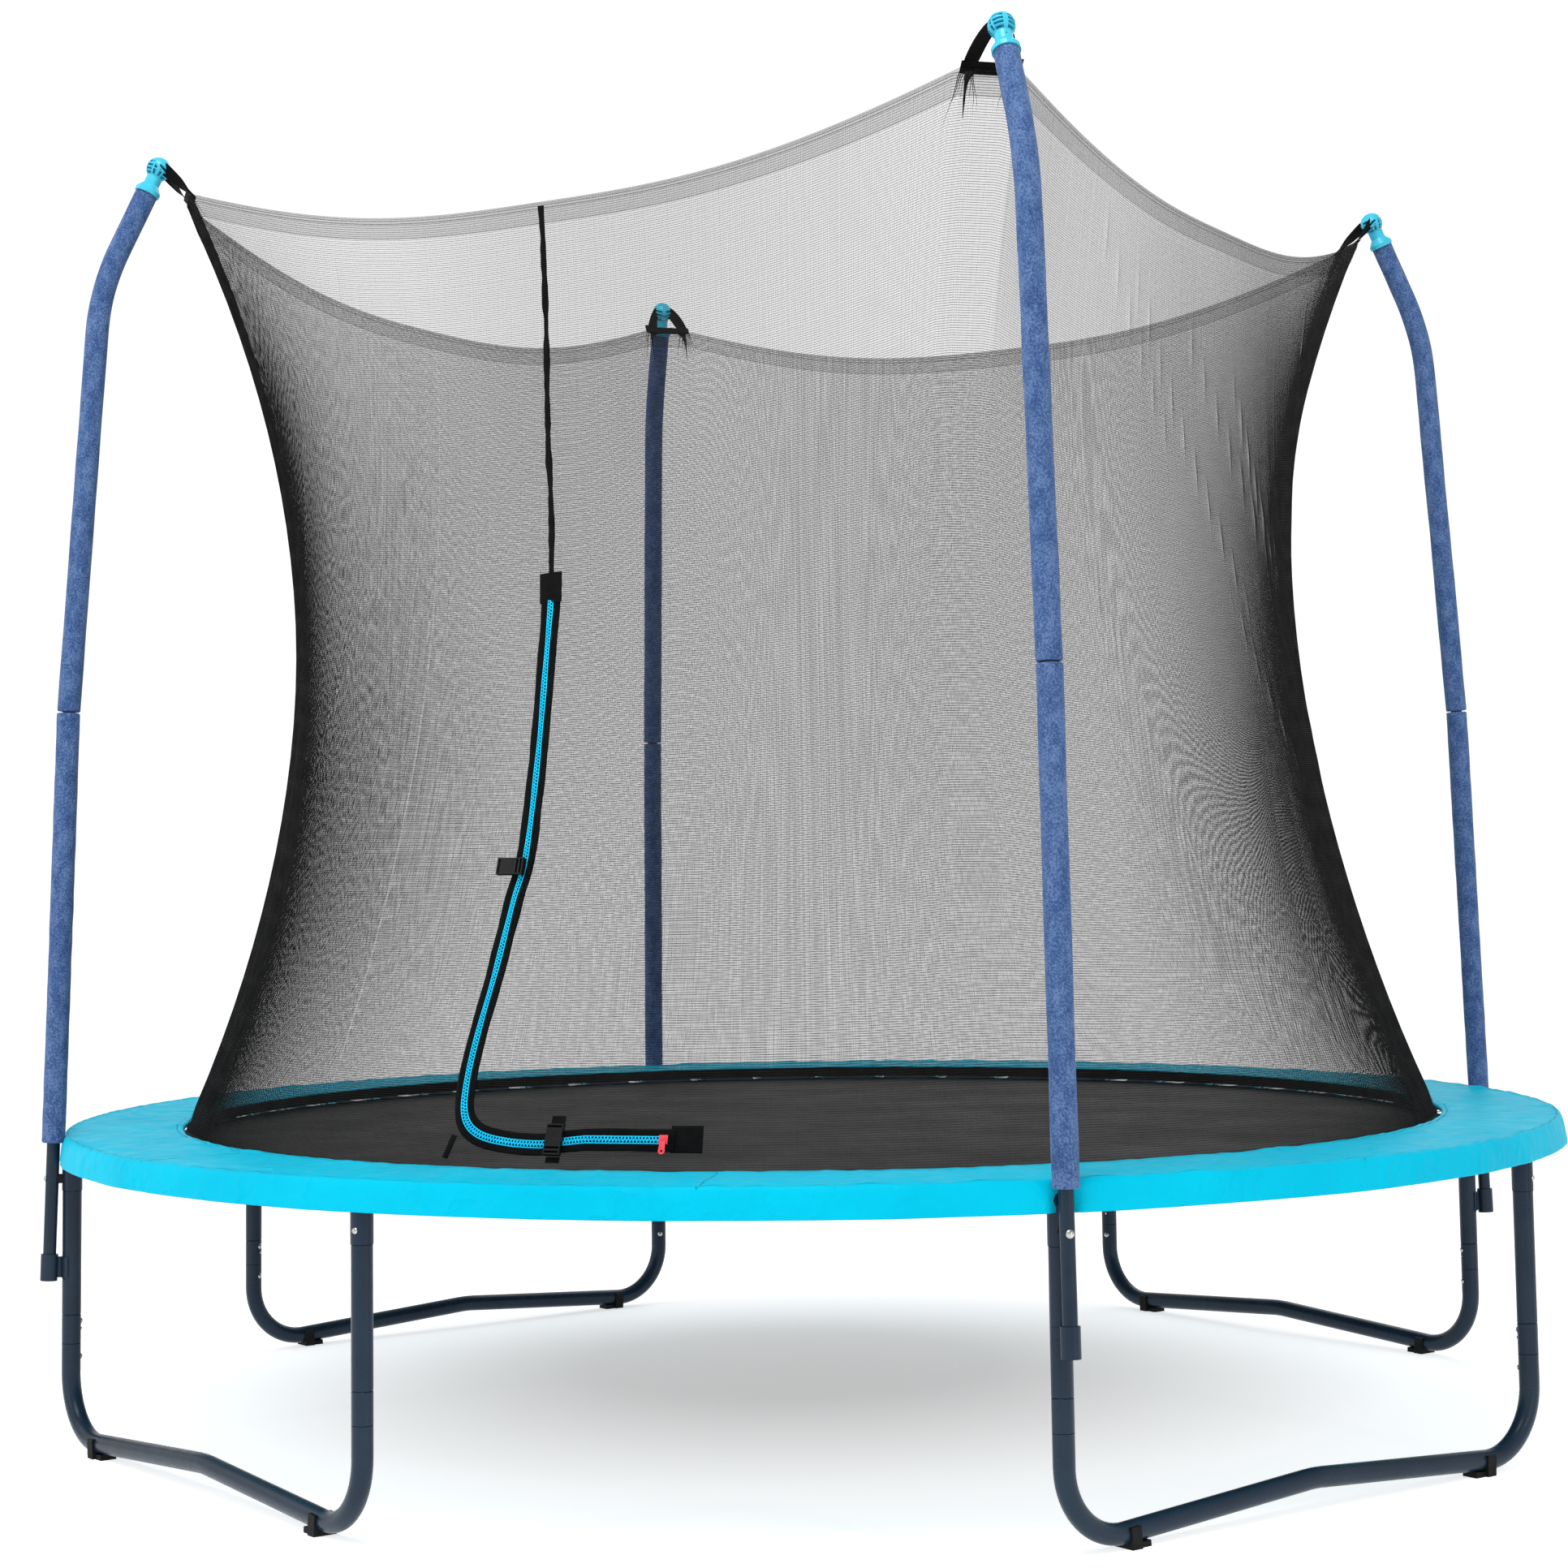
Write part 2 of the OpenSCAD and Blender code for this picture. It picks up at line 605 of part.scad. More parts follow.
// ---- Mat and springs ----
// Spring as the closed outer shape of its coils and its two hook shanks
module spring_body() {
    inner_end = mat_r + 38;
    outer_end = ring_r - ring_d / 2 - 1;
    len = outer_end - inner_end;
    wire_r = 1.6;
    shank = 18;
    taper = 8;
    coil_r = spring_d / 2;
    hollow_r = coil_r - 2 * wire_r;
    translate([inner_end, 0, mat_z]) rotate([0, 90, 0]) rotate_extrude($fn = 24) difference() {
        polygon([[0, 0], [wire_r, 0], [wire_r, shank], [coil_r, shank + taper],
            [coil_r, len - shank - taper], [wire_r, len - shank], [wire_r, len], [0, len]]);
        polygon([[0, shank + taper], [hollow_r, shank + taper],
            [hollow_r, len - shank - taper], [0, len - shank - taper]]);
    }
}

module springs()
    color(zinc) for (k = [0:spring_count - 1]) rotate([0, 0, 360 * (k + 0.5) / spring_count])
        spring_body();

// Steel triangle at the mat's edge that takes a spring's hook
module v_ring() {
    wire = 4;
    foot = mat_r + 3;
    tip = mat_r + 34;
    foot_half = 19;
    tip_half = 4;
    inner_foot = 13.5;
    inner_tip = 2.2;
    translate([0, 0, mat_z - wire / 2]) linear_extrude(wire) difference() {
        polygon([[foot, -foot_half], [tip, -tip_half], [tip, tip_half], [foot, foot_half]]);
        polygon([[foot + wire, -inner_foot], [tip - wire, -inner_tip], [tip - wire, inner_tip],
            [foot + wire, inner_foot]]);
    }
}

module v_rings()
    color(zinc) for (k = [0:spring_count - 1]) rotate([0, 0, 360 * (k + 0.5) / spring_count]) v_ring();

mat_t = 1;

module mat()
    color(mesh_black) translate([0, 0, mat_z - mat_t / 2]) cylinder(r = mat_r, h = mat_t, $fn = 180);

// Folded band sewn round the mat's edge
module mat_binding() {
    band = 28;
    fold = 1.5;
    gap = 0.2;
    half = 2.2;
    inner_half = mat_t / 2 + gap;
    color(cloth_black) rotate_extrude($fn = 180) translate([mat_r, mat_z]) polygon([
        [-band, inner_half], [-band, half], [fold, half], [fold, -half], [-band, -half],
        [-band, -inner_half], [gap, -inner_half], [gap, inner_half]]);
}

// ---- Pad over the springs ----
pad_low_z = 588;
pad_inner_z = 609.5;
pad_seam_z = 604;
pad_skirt_z = 545;
pad_skin = 1.2;

pad_round = 6;
pad_roll = 8;
pad_rise = 2;
pad_fill_r = pad_seam_r - 12;

// Notches where the poles pass the pad's rim
module pole_notches()
    for (i = [1:4]) on_pole_lower(i) translate([0, 0, 150]) cylinder(d = foam_d + 3, h = 200);

module pad_cover() {
    skirt_t = 1.3;
    skirt_root = 0.9;
    color(cyan) difference() {
        rotate_extrude($fn = 180) difference() {
            polygon([[pad_hole_r, pad_low_z], [pad_hole_r, pad_inner_z - pad_round],
                [pad_hole_r + pad_round, pad_inner_z],
                [pad_seam_r - pad_roll, pad_seam_z + pad_rise], [pad_seam_r, pad_seam_z],
                [pad_skirt_r, pad_skirt_z], [pad_skirt_r - skirt_t, pad_skirt_z],
                [pad_seam_r + skirt_root, pad_low_z + pad_round],
                [pad_seam_r - pad_round, pad_low_z]]);
            pad_filling(pad_skin);
        }
        pole_notches();
    }
}

// Cross-section of the pad's filling, inset from the pad's faces
module pad_filling(inset) {
    bevel = inset * tan(half_step);
    polygon([[pad_hole_r + inset, pad_low_z + inset],
        [pad_hole_r + inset, pad_inner_z - pad_round - bevel],
        [pad_hole_r + pad_round + bevel, pad_inner_z - inset],
        [pad_fill_r - inset, pad_seam_z + pad_rise - inset], [pad_fill_r - inset, pad_low_z + inset]]);
}

// Sheets of filling, one for each eighth of the pad
module pad_foam() {
    gap = 0.4;
    cut_turn = 0.3;
    color("#e8e8e4") for (k = [0:7]) rotate([0, 0, upright_step * k + cut_turn])
        rotate_extrude(angle = upright_step - 2 * cut_turn, $fn = 180) pad_filling(pad_skin + gap);
}

// ---- Safety net ----
module net() {
    side_steps = 17;
    rows = 12;
    az_list = [for (q = [0:3]) for (k = [0:side_steps]) 90 * q + side_half * (2 * k / side_steps - 1)];
    cols = len(az_list);
    levels = rows + 2;
    function level_point(az, j, inset) = let (
        phi = side_phi(az),
        h = (j - 1) / rows,
        z = j == 0 ? net_skirt_z : net_base_z + (edge_z(phi) - net_base_z) * h,
        r = (j == 0 ? net_r(az, z) : net_level_r(phi, h)) - inset
    ) [r * cos(az), r * sin(az), z];
    function id(layer, j, i) = layer * levels * cols + j * cols + i % cols;
    points = [for (layer = [0, 1]) for (j = [0:levels - 1]) for (az = az_list)
        level_point(az, j, layer * net_thickness)];
    walls = [for (j = [0:levels - 2]) for (i = [0:cols - 1]) each [
        [id(0, j, i), id(0, j + 1, i), id(0, j + 1, i + 1)],
        [id(0, j, i), id(0, j + 1, i + 1), id(0, j, i + 1)],
        [id(1, j, i), id(1, j + 1, i + 1), id(1, j + 1, i)],
        [id(1, j, i), id(1, j, i + 1), id(1, j + 1, i + 1)]]];
    top = levels - 1;
    rims = [for (i = [0:cols - 1]) each [
        [id(0, 0, i), id(0, 0, i + 1), id(1, 0, i + 1)],
        [id(0, 0, i), id(1, 0, i + 1), id(1, 0, i)],
        [id(0, top, i), id(1, top, i), id(1, top, i + 1)],
        [id(0, top, i), id(1, top, i + 1), id(0, top, i + 1)]]];
    color(mesh_black) polyhedron(points = points, faces = concat(walls, rims));
}

// Webbing at each corner: a bar sewn to the net and a loop that runs through the cap's ball
module net_straps() {
    t = 1.6;
    bar = 53;
    bar_low = -12;
    bar_high = 10;
    apex = [20, 80];
    hole = [31, 11];
    hole_apex = [4, 62];
    color(cloth_black) for (i = [1:4]) on_strap(i) rotate([90, 0, 90]) translate([0, 0, -t / 2])
        linear_extrude(t) difference() {
            polygon([[-bar, bar_low], [bar, bar_low], [bar, bar_high], apex, [-apex[0], apex[1]],
                [-bar, bar_high]]);
            polygon([[-hole[0], hole[1]], hole, hole_apex, [-hole_apex[0], hole_apex[1]]]);
        }
}

// ---- Doorway ----
// Smooth curve through a list of [azimuth, height] points
function spline_value(a, b, c, d, t) = 0.5 * (2 * b + (c - a) * t
    + (2 * a - 5 * b + 4 * c - d) * t * t + (3 * b - a - 3 * c + d) * t * t * t);
function route_curve(p, steps) = [for (k = [0:len(p) - 2]) let (
    a = p[max(0, k - 1)], d = p[min(len(p) - 1, k + 2)])
    for (s = [0:steps - (k == len(p) - 2 ? 0 : 1)]) spline_value(a, p[k], p[k + 1], d, s / steps)];

// Flat band that follows a route on the net, between two heights above its surface
module net_band(route, steps, w, low, high) {
    curve = route_curve(route, steps);
    n = len(curve);
    mid = [for (c = curve) net_point(c[0], c[1])];
    function unit(v) = v / norm(v);
    points = [for (k = [0:n - 1]) let (
        normal = net_normal(curve[k][0], curve[k][1]),
        along = unit(mid[min(n - 1, k + 1)] - mid[max(0, k - 1)]),
        side = unit(cross(normal, along)) * w / 2)
        each [mid[k] - side + normal * low, mid[k] + side + normal * low,
              mid[k] + side + normal * high, mid[k] - side + normal * high]];
    sides = [for (k = [0:n - 2]) for (a = [0:3]) let (b = (a + 1) % 4) each [
        [4 * k + a, 4 * k + 4 + a, 4 * k + 4 + b], [4 * k + a, 4 * k + 4 + b, 4 * k + b]]];
    last = 4 * (n - 1);
    ends = [[0, 1, 2], [0, 2, 3], [last + 3, last + 2, last], [last + 2, last + 1, last]];
    polyhedron(points = points, faces = concat(sides, ends));
}

tape_low = 2;
tape_high = 3;
teeth_low = 3.2;
teeth_high = 6;
tape_w = 39;
teeth_w = 12;
seam_tape_w = 12;
patch_w = 46;
end_patch_w = 48;

module door_tape() color(cloth_black) {
    net_band(door_route, 3, seam_tape_w, tape_low, tape_high);
    net_band(top_patch_route, 2, patch_w, tape_high + 0.3, tape_high + 1.5);
    net_band(end_patch_route, 2, end_patch_w, tape_low, tape_high + 0.4);
    net_band(side_tape_route, 2, seam_tape_w, tape_low, tape_high);
}

module zip_tape() color(cloth_black) {
    net_band(zip_route, 4, tape_w, tape_low, tape_high);
    on_zip_run() translate([tape_low, run_from, -tape_w / 2])
        cube([tape_high - tape_low, tape_to - run_from, tape_w]);
}

module zip_teeth() color(cyan) {
    net_band(zip_route, 4, teeth_w, teeth_low, teeth_high);
    on_zip_run() translate([teeth_low, run_from, -teeth_w / 2])
        cube([teeth_high - teeth_low, run_to - run_from, teeth_w]);
}

pull_stud_d = 3;
pull_eye_d = 3.12;
pull_low = 9.8;
pull_high = 11.8;

// Slider: a channel over the teeth with a stud for the pull
module zip_slider() {
    len = 15;
    cheek = 1.3;
    gap = 0.4;
    inner_w = teeth_w + 2 * gap;
    outer_w = inner_w + 2 * cheek;
    roof_low = teeth_high + gap;
    roof_high = roof_low + 1.8;
    collar_d = 6;
    head_d = 5.6;
    head_t = 1;
    play = 0.2;
    root = 0.5;
    color(pull_red) on_zip_run() translate([0, slider_y, 0]) {
        difference() {
            translate([tape_high + gap, -len / 2, -outer_w / 2])
                cube([roof_high - tape_high - gap, len, outer_w]);
            translate([0, -len, -inner_w / 2]) cube([roof_low, 2 * len, inner_w]);
        }
        rotate([0, 90, 0]) rotate_extrude() polygon([[0, roof_high - root],
            [collar_d / 2, roof_high - root], [collar_d / 2, pull_low - play],
            [pull_stud_d / 2, pull_low - play], [pull_stud_d / 2, pull_high + play],
            [head_d / 2, pull_high + play], [head_d / 2, pull_high + play + head_t],
            [0, pull_high + play + head_t]]);
    }
}

// Pull tab that hangs from the slider's stud
module zip_pull() {
    drop = 21;
    top_d = 8.4;
    low_d = 11.6;
    finger_hole_d = 4;
    color(pull_red) on_zip_run() translate([pull_low, slider_y, 0]) rotate([90, 0, 90])
        linear_extrude(pull_high - pull_low) difference() {
            union() {
                circle(d = top_d);
                polygon([[-top_d / 2, 0], [-low_d / 2, -drop], [low_d / 2, -drop], [top_d / 2, 0]]);
                translate([0, -drop]) circle(d = low_d);
            }
            circle(d = pull_eye_d);
            translate([0, -drop]) circle(d = finger_hole_d);
        }
}

// Buckle halves with the webbing's pull along Z: the socket half above, the prongs below
buckle_wall = 1.8;
buckle_rim = 3;
prong_gap = 0.35;

// Slot that the webbing runs through, at a height on a buckle half
module webbing_slot(z) {
    clear = 0.5;
    slot_h = 3.8;
    translate([buckle_x - 1, -webbing_w / 2 - clear, z])
        cube([buckle_t + 2, webbing_w + 2 * clear, slot_h]);
}

module buckle_female() {
    len = 34;
    mouth = 2;
    cavity = 25;
    window_z = 12;
    window_h = 9;
    slot_z = 27.5;
    inner_t = buckle_t - 2 * buckle_wall;
    difference() {
        translate([buckle_x, -buckle_w / 2, mouth]) cube([buckle_t, buckle_w, len - mouth]);
        translate([buckle_x + buckle_wall, -buckle_w / 2 + buckle_rim, mouth - 1])
            cube([inner_t, buckle_w - 2 * buckle_rim, cavity - mouth + 1]);
        translate([buckle_x + buckle_wall, -buckle_w, window_z])
            cube([inner_t, 2 * buckle_w, window_h]);
        webbing_slot(slot_z);
    }
}

module buckle_male() {
    len = 20;
    top = 1.7;
    root = 0.5;
    prong_len = 20;
    prong_t = buckle_t - 2 * buckle_wall - 2 * prong_gap;
    // edge and width of each prong
    prongs = [[-11.5, 4.5], [-2.5, 5], [7, 4.5]];
    difference() {
        translate([buckle_x, -buckle_w / 2, -len]) cube([buckle_t, buckle_w, len + top]);
        for (z = [-17, -9.5]) webbing_slot(z);
    }
    for (p = prongs) translate([buckle_x + buckle_wall + prong_gap, p[0], top - root])
        cube([prong_t, p[1], prong_len]);
}

module on_upper_buckle() on_net(buckle_upper_az, buckle_upper_z) rotate([90, 0, 0]) children();
module on_lower_buckle() on_net(buckle_lower_az, buckle_lower_z) children();

module buckle_upper_male() color(cloth_black) on_upper_buckle() buckle_male();
module buckle_upper_female() color(cloth_black) on_upper_buckle() buckle_female();
module buckle_lower_male() color(cloth_black) on_lower_buckle() buckle_male();
module buckle_lower_female() color(cloth_black) on_lower_buckle() buckle_female();

// Webbing tabs that tie both buckles to the zip's tapes
module buckle_straps() color(cloth_black) {
    t = 1.2;
    x = 4.3;
    on_lower_buckle() {
        translate([x, -webbing_w / 2, 24]) cube([t, webbing_w, 27]);
        translate([x, -webbing_w / 2, -31]) cube([t, webbing_w, 10]);
    }
    on_upper_buckle() translate([x, -webbing_w / 2, -31]) cube([t, webbing_w, 9]);
}

frame_rail(1);  // frame_rail_1
frame_rail(2);  // frame_rail_2
frame_rail(3);  // frame_rail_3
frame_rail(4);  // frame_rail_4
frame_rail(5);  // frame_rail_5
frame_rail(6);  // frame_rail_6
frame_rail(7);  // frame_rail_7
frame_rail(8);  // frame_rail_8
leg_post(1);  // leg_post_1
leg_post(2);  // leg_post_2
leg_post(3);  // leg_post_3
leg_post(4);  // leg_post_4
leg_post(5);  // leg_post_5
leg_post(6);  // leg_post_6
leg_post(7);  // leg_post_7
leg_post(8);  // leg_post_8
w_base(1);  // w_base_1
w_base(2);  // w_base_2
w_base(3);  // w_base_3
w_base(4);  // w_base_4
pole_lower(1);  // pole_lower_1
pole_lower(2);  // pole_lower_2
pole_lower(3);  // pole_lower_3
pole_lower(4);  // pole_lower_4
pole_upper(1);  // pole_upper_1
pole_upper(2);  // pole_upper_2
pole_upper(3);  // pole_upper_3
pole_upper(4);  // pole_upper_4
pole_cap(1);  // pole_cap_1
pole_cap(2);  // pole_cap_2
pole_cap(3);  // pole_cap_3
pole_cap(4);  // pole_cap_4
leg_couplers();
foot_clips();
foam_lower();
foam_upper();
pole_brackets();
pole_spacers();
pole_bolts();
socket_screws();
coupler_screws();
springs();
v_rings();
mat();
mat_binding();
pad_cover();
pad_foam();
net();
net_straps();
door_tape();
zip_tape();
zip_teeth();
zip_slider();
zip_pull();
buckle_upper_male();
buckle_upper_female();
buckle_lower_male();
buckle_lower_female();
buckle_straps();
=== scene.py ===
"""Looks for a garden trampoline with a net enclosure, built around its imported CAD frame.

Metres, +Z up, origin on the ground under the centre of the ring, doorway towards -Y.
"""
import math

import bpy
import numpy as np
from mathutils import Matrix, Vector


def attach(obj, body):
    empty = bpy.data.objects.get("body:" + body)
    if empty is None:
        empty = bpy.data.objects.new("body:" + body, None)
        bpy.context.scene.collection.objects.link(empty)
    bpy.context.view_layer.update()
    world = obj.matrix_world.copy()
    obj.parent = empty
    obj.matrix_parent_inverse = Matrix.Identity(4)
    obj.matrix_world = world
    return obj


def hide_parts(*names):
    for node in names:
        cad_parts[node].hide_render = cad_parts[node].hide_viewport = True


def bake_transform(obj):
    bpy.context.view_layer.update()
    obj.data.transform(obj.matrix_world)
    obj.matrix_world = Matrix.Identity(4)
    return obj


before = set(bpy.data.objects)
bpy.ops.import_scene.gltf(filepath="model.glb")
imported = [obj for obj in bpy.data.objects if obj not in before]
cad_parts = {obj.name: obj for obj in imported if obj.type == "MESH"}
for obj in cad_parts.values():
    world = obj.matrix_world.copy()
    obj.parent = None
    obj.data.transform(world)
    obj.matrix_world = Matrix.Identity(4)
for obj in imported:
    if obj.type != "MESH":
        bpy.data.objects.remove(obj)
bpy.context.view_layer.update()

RNG = np.random.default_rng(7)
TAU = 2 * math.pi

# ---- Places from the CAD source, in metres ----
POLE_FOOT = (1.530, 0.335)
POLE_JOINT = (1.4845, 1.420)
POLE_BEND = (1.418, 2.250)
POLE_BEND_RADIUS = 0.5
CAP_CENTRE = (1.304, 2.491)
CAP_FLANGE = 0.051
FOAM_R, FOAM_BORE_R = 0.0220, 0.0129
FOAM_FOOT_Z = 0.587
MAT_R, MAT_Z, MAT_T = 1.290, 0.570, 0.001
SPRINGS = 56
SPRING_FROM, SPRING_TO, SPRING_R = 1.328, 1.461, 0.0085
NET_BASE_R, NET_BASE_Z, NET_FOOT_Z = 1.262, 0.605, 0.578
NET_CORNER_R, NET_CORNER_Z, NET_SIDE_Z = 1.2458, 2.4335, 2.3076
SIDE_HALF = 42.5
NET_LENGTH = 1.76
ZIP_ROUTE = [(-88, 1.582), (-88, 1.450), (-87.8, 1.300), (-87.7, 1.120), (-88.3, 1.045),
             (-88.9, 0.920), (-89.4, 0.825), (-89.5, 0.745), (-89, 0.685), (-87.5, 0.655),
             (-84.8, 0.642), (-81.5, 0.639), (-78.6, 0.649)]
RUN_AZ, RUN_R, RUN_Z = -75.0, 1.247, 0.649
RUN_FROM, RUN_TO, TAPE_TO = -0.074, 0.088, 0.097
DOOR_ROUTE = [(-89.7, 2.300), (-89.6, 2.100), (-89.4, 1.900), (-88.6, 1.740), (-88.2, 1.632)]
# Sewn patches at the zip's top and at the run's end: route, distance off the net, width, waviness
PATCHES = [([(-88.2, 1.632), (-88, 1.577)], 0.0042, 0.046, 0.0006),
           ([(-71.0, 0.650), (-69.8, 0.650), (-68.5, 0.650)], 0.0032, 0.048, 0.0008)]
TAPE_W, TEETH_W = 0.039, 0.012


def pole_az(i):
    return math.radians(-45 + 90 * i)


def axes_at(az):
    """Outward, around and up at an azimuth."""
    c, s = math.cos(az), math.sin(az)
    return np.array([c, s, 0]), np.array([-s, c, 0]), np.array([0, 0, 1.0])


def turn_z(a):
    return np.array([[math.cos(a), -math.sin(a), 0], [math.sin(a), math.cos(a), 0], [0, 0, 1]])


# ---- Mesh building ----
def quads(nu, nv, wrap_u=False, wrap_v=False, base=0):
    """Faces of a grid of nu by nv points, stored row by row along v."""
    cu, cv = (nu if wrap_u else nu - 1), (nv if wrap_v else nv - 1)
    u, v = np.meshgrid(np.arange(cu), np.arange(cv), indexing="ij")
    u, v = u.ravel(), v.ravel()
    u2, v2 = (u + 1) % nu, (v + 1) % nv
    return np.stack([u * nv + v, u2 * nv + v, u2 * nv + v2, u * nv + v2], 1) + base


def uv_grid(u, v):
    return np.stack(np.meshgrid(u, v, indexing="ij"), -1)


class Build:
    """Collects grids of points into one mesh, with a metric UV for each corner where one is given."""

    def __init__(self):
        self.points, self.faces, self.uvs, self.count = [], [], [], 0

    def grid(self, points, wrap_u=False, wrap_v=False, uv=None, flip=False):
        nu, nv = points.shape[:2]
        faces = quads(nu, nv, wrap_u, wrap_v)
        if uv is None:
            uv = np.zeros((nu, nv, 2))
        flat = uv.reshape(-1, 2)[faces]
        for axis, wrap in ((0, wrap_u), (1, wrap_v)):
            if wrap:  # the last strip's far side keeps on counting, so the pattern closes up
                span = flat[:, :, axis].max(0) - flat[:, :, axis].min(0)
                far = flat[:, :, axis] < flat[:, :1, axis] - span.max() / 2
                flat[:, :, axis][far] += span.max() * (1 + 1 / max(nu if axis == 0 else nv, 1))
        if flip:
            faces, flat = faces[:, ::-1], flat[:, ::-1]
        self.points.append(points.reshape(-1, 3))
        self.faces.append(faces + self.count)
        self.uvs.append(flat)
        self.count += nu * nv

    def copies(self, grids, faces):
        """Adds many equal grids, each closed by the same faces."""
        each = grids.shape[1] * grids.shape[2]
        every = ((np.arange(len(grids)) * each)[:, None, None] + faces[None]).reshape(-1, 4)
        self.points.append(grids.reshape(-1, 3))
        self.faces.append(every + self.count)
        self.uvs.append(np.zeros((len(every), 4, 2)))
        self.count += len(grids) * each

    def fan(self, centre, ring, flip=False):
        """Closes a ring of points with quads that meet at a centre point."""
        n = len(ring)
        index = np.arange(0, n, 2)
        faces = np.stack([np.full(len(index), n), index, (index + 1) % n, (index + 2) % n], 1)
        if flip:
            faces = faces[:, ::-1]
        self.points.append(np.vstack([ring, [centre]]))
        self.faces.append(faces + self.count)
        self.uvs.append(np.zeros((len(faces), 4, 2)))
        self.count += n + 1

    def piece(self, name, material, body=None, slot=None, replaces=(), smooth=True):
        points, faces = np.vstack(self.points), np.vstack(self.faces)
        mesh = bpy.data.meshes.new(name)
        mesh.vertices.add(len(points))
        mesh.vertices.foreach_set("co", points.astype(np.float32).ravel())
        mesh.loops.add(faces.size)
        mesh.loops.foreach_set("vertex_index", faces.astype(np.int32).ravel())
        mesh.polygons.add(len(faces))
        mesh.polygons.foreach_set("loop_start", np.arange(0, faces.size, 4, dtype=np.int32))
        layer = mesh.uv_layers.new(name="UVMap")
        uv = np.vstack([u.reshape(-1, 2) for u in self.uvs])
        layer.data.foreach_set("uv", uv.astype(np.float32).ravel())
        mesh.update(calc_edges=True)
        mesh.validate()
        mesh.polygons.foreach_set("use_smooth", np.full(len(mesh.polygons), smooth))
        mesh.materials.append(material)
        obj = bpy.data.objects.new(name, mesh)
        bpy.context.scene.collection.objects.link(obj)
        if body:
            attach(obj, body)
        if replaces:
            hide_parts(*replaces)
        return obj


def unit(v):
    """Vectors brought to length one, along the last axis."""
    return v / np.linalg.norm(v, axis=-1)[..., None]


def frames(path, closed=False):
    """Tangent, side and normal at each point of a path, without sudden turns."""
    path = np.asarray(path, float)
    if closed:
        tangent = np.roll(path, -1, 0) - np.roll(path, 1, 0)
    else:
        tangent = np.gradient(path, axis=0)
    tangent = unit(tangent)
    side = np.cross(np.broadcast_to((0, 0, 1), path.shape), tangent)
    short = np.linalg.norm(side, axis=1) < 1e-4
    side[short] = np.cross(np.broadcast_to((1.0, 0, 0), path.shape), tangent)[short]
    side = unit(side)
    return tangent, side, np.cross(tangent, side)


def face_frames(path, normal):
    """A path with its tangent, side and true normal, from a rough normal at each point."""
    tangent = unit(np.gradient(path, axis=0))
    side = unit(np.cross(normal, tangent))
    return path, tangent, side, np.cross(tangent, side)


def along_of(path):
    return np.concatenate([[0], np.cumsum(np.linalg.norm(np.diff(path, axis=0), axis=1))])


def tube(build, path, radius, sides=8, closed=False):
    """Round bar along a path; radius is one number or one for each point."""
    path = np.asarray(path, float)
    _, side, normal = frames(path, closed)
    radius = np.broadcast_to(radius, len(path))
    a = np.arange(sides) * TAU / sides
    ring = (side[:, None] * np.cos(a)[None, :, None] + normal[:, None] * np.sin(a)[None, :, None])
    points = path[:, None] + ring * radius[:, None, None]
    uv = uv_grid(along_of(path), a * radius.mean())
    build.grid(points, wrap_u=closed, wrap_v=True, uv=uv)
    if not closed:
        build.fan(path[0], points[0], flip=True)
        build.fan(path[-1], points[-1])


def strip(build, path, side, normal, width, thickness, across=5, wave=None):
    """Closed woven tape along a path: side points across it, normal off its face."""
    path, side, normal = (np.asarray(x, float) for x in (path, side, normal))
    width = np.broadcast_to(width, len(path))
    t = np.linspace(-1, 1, across)
    t = np.sign(t) * np.abs(t) ** 0.85
    edge = 1 - 0.55 * np.abs(t) ** 6
    loop = np.vstack([np.stack([t, edge * 0.5], 1), np.stack([t, -edge * 0.5], 1)[::-1]])
    offset = loop[:, 1] * thickness
    along = along_of(path)
    points = (path[:, None] + side[:, None] * (loop[:, 0][None, :, None] * width[:, None, None] / 2)
              + normal[:, None] * offset[None, :, None])
    if wave is not None:
        points = points + normal[:, None] * wave(along[:, None], loop[:, 0][None])[..., None]
    uv = uv_grid(along, loop[:, 0] * width.mean() / 2)
    build.grid(points, wrap_v=True, uv=uv)
    for end, flip in ((0, True), (-1, False)):
        rung = points[end]
        build.grid(np.stack([rung[:across], rung[across:][::-1]], 0), flip=flip)


def smooth_curve(points):
    """A smooth curve through control points, 24 points to a stretch."""
    p = np.asarray(points, float)
    p = np.vstack([2 * p[0] - p[1], p, 2 * p[-1] - p[-2]])
    out = []
    for k in range(1, len(p) - 2):
        a, b, c, d = p[k - 1:k + 3]
        t = np.linspace(0, 1, 24, endpoint=False)[:, None]
        out.append(0.5 * (2 * b + (c - a) * t + (2 * a - 5 * b + 4 * c - d) * t**2
                          + (3 * b - a - 3 * c + d) * t**3))
    return np.vstack(out + [p[-2:-1]])


def resample(path, step):
    along = along_of(path)
    at = np.linspace(0, along[-1], max(3, int(round(along[-1] / step)) + 1))
    return np.stack([np.interp(at, along, path[:, k]) for k in range(path.shape[1])], 1)


def ripples(count, lengths, seed):
    """Directions, wave numbers and phases for a sum of waves that looks like noise."""
    rng = np.random.default_rng(seed)
    angle = rng.uniform(0, TAU, count)
    number = TAU / rng.uniform(lengths[0], lengths[1], count)
    return np.cos(angle) * number, np.sin(angle) * number, rng.uniform(0, TAU, count)


def wave_noise(x, y, set_):
    kx, ky, phase = set_
    total = np.zeros(np.broadcast(x, y).shape)
    for a, b, c in zip(kx, ky, phase):
        total = total + np.sin(a * x + b * y + c)
    return total / math.sqrt(len(kx))


def polar(r, az, z):
    r, az, z = np.broadcast_arrays(r, az, z)
    return np.stack([r * np.cos(az), r * np.sin(az), z], -1)


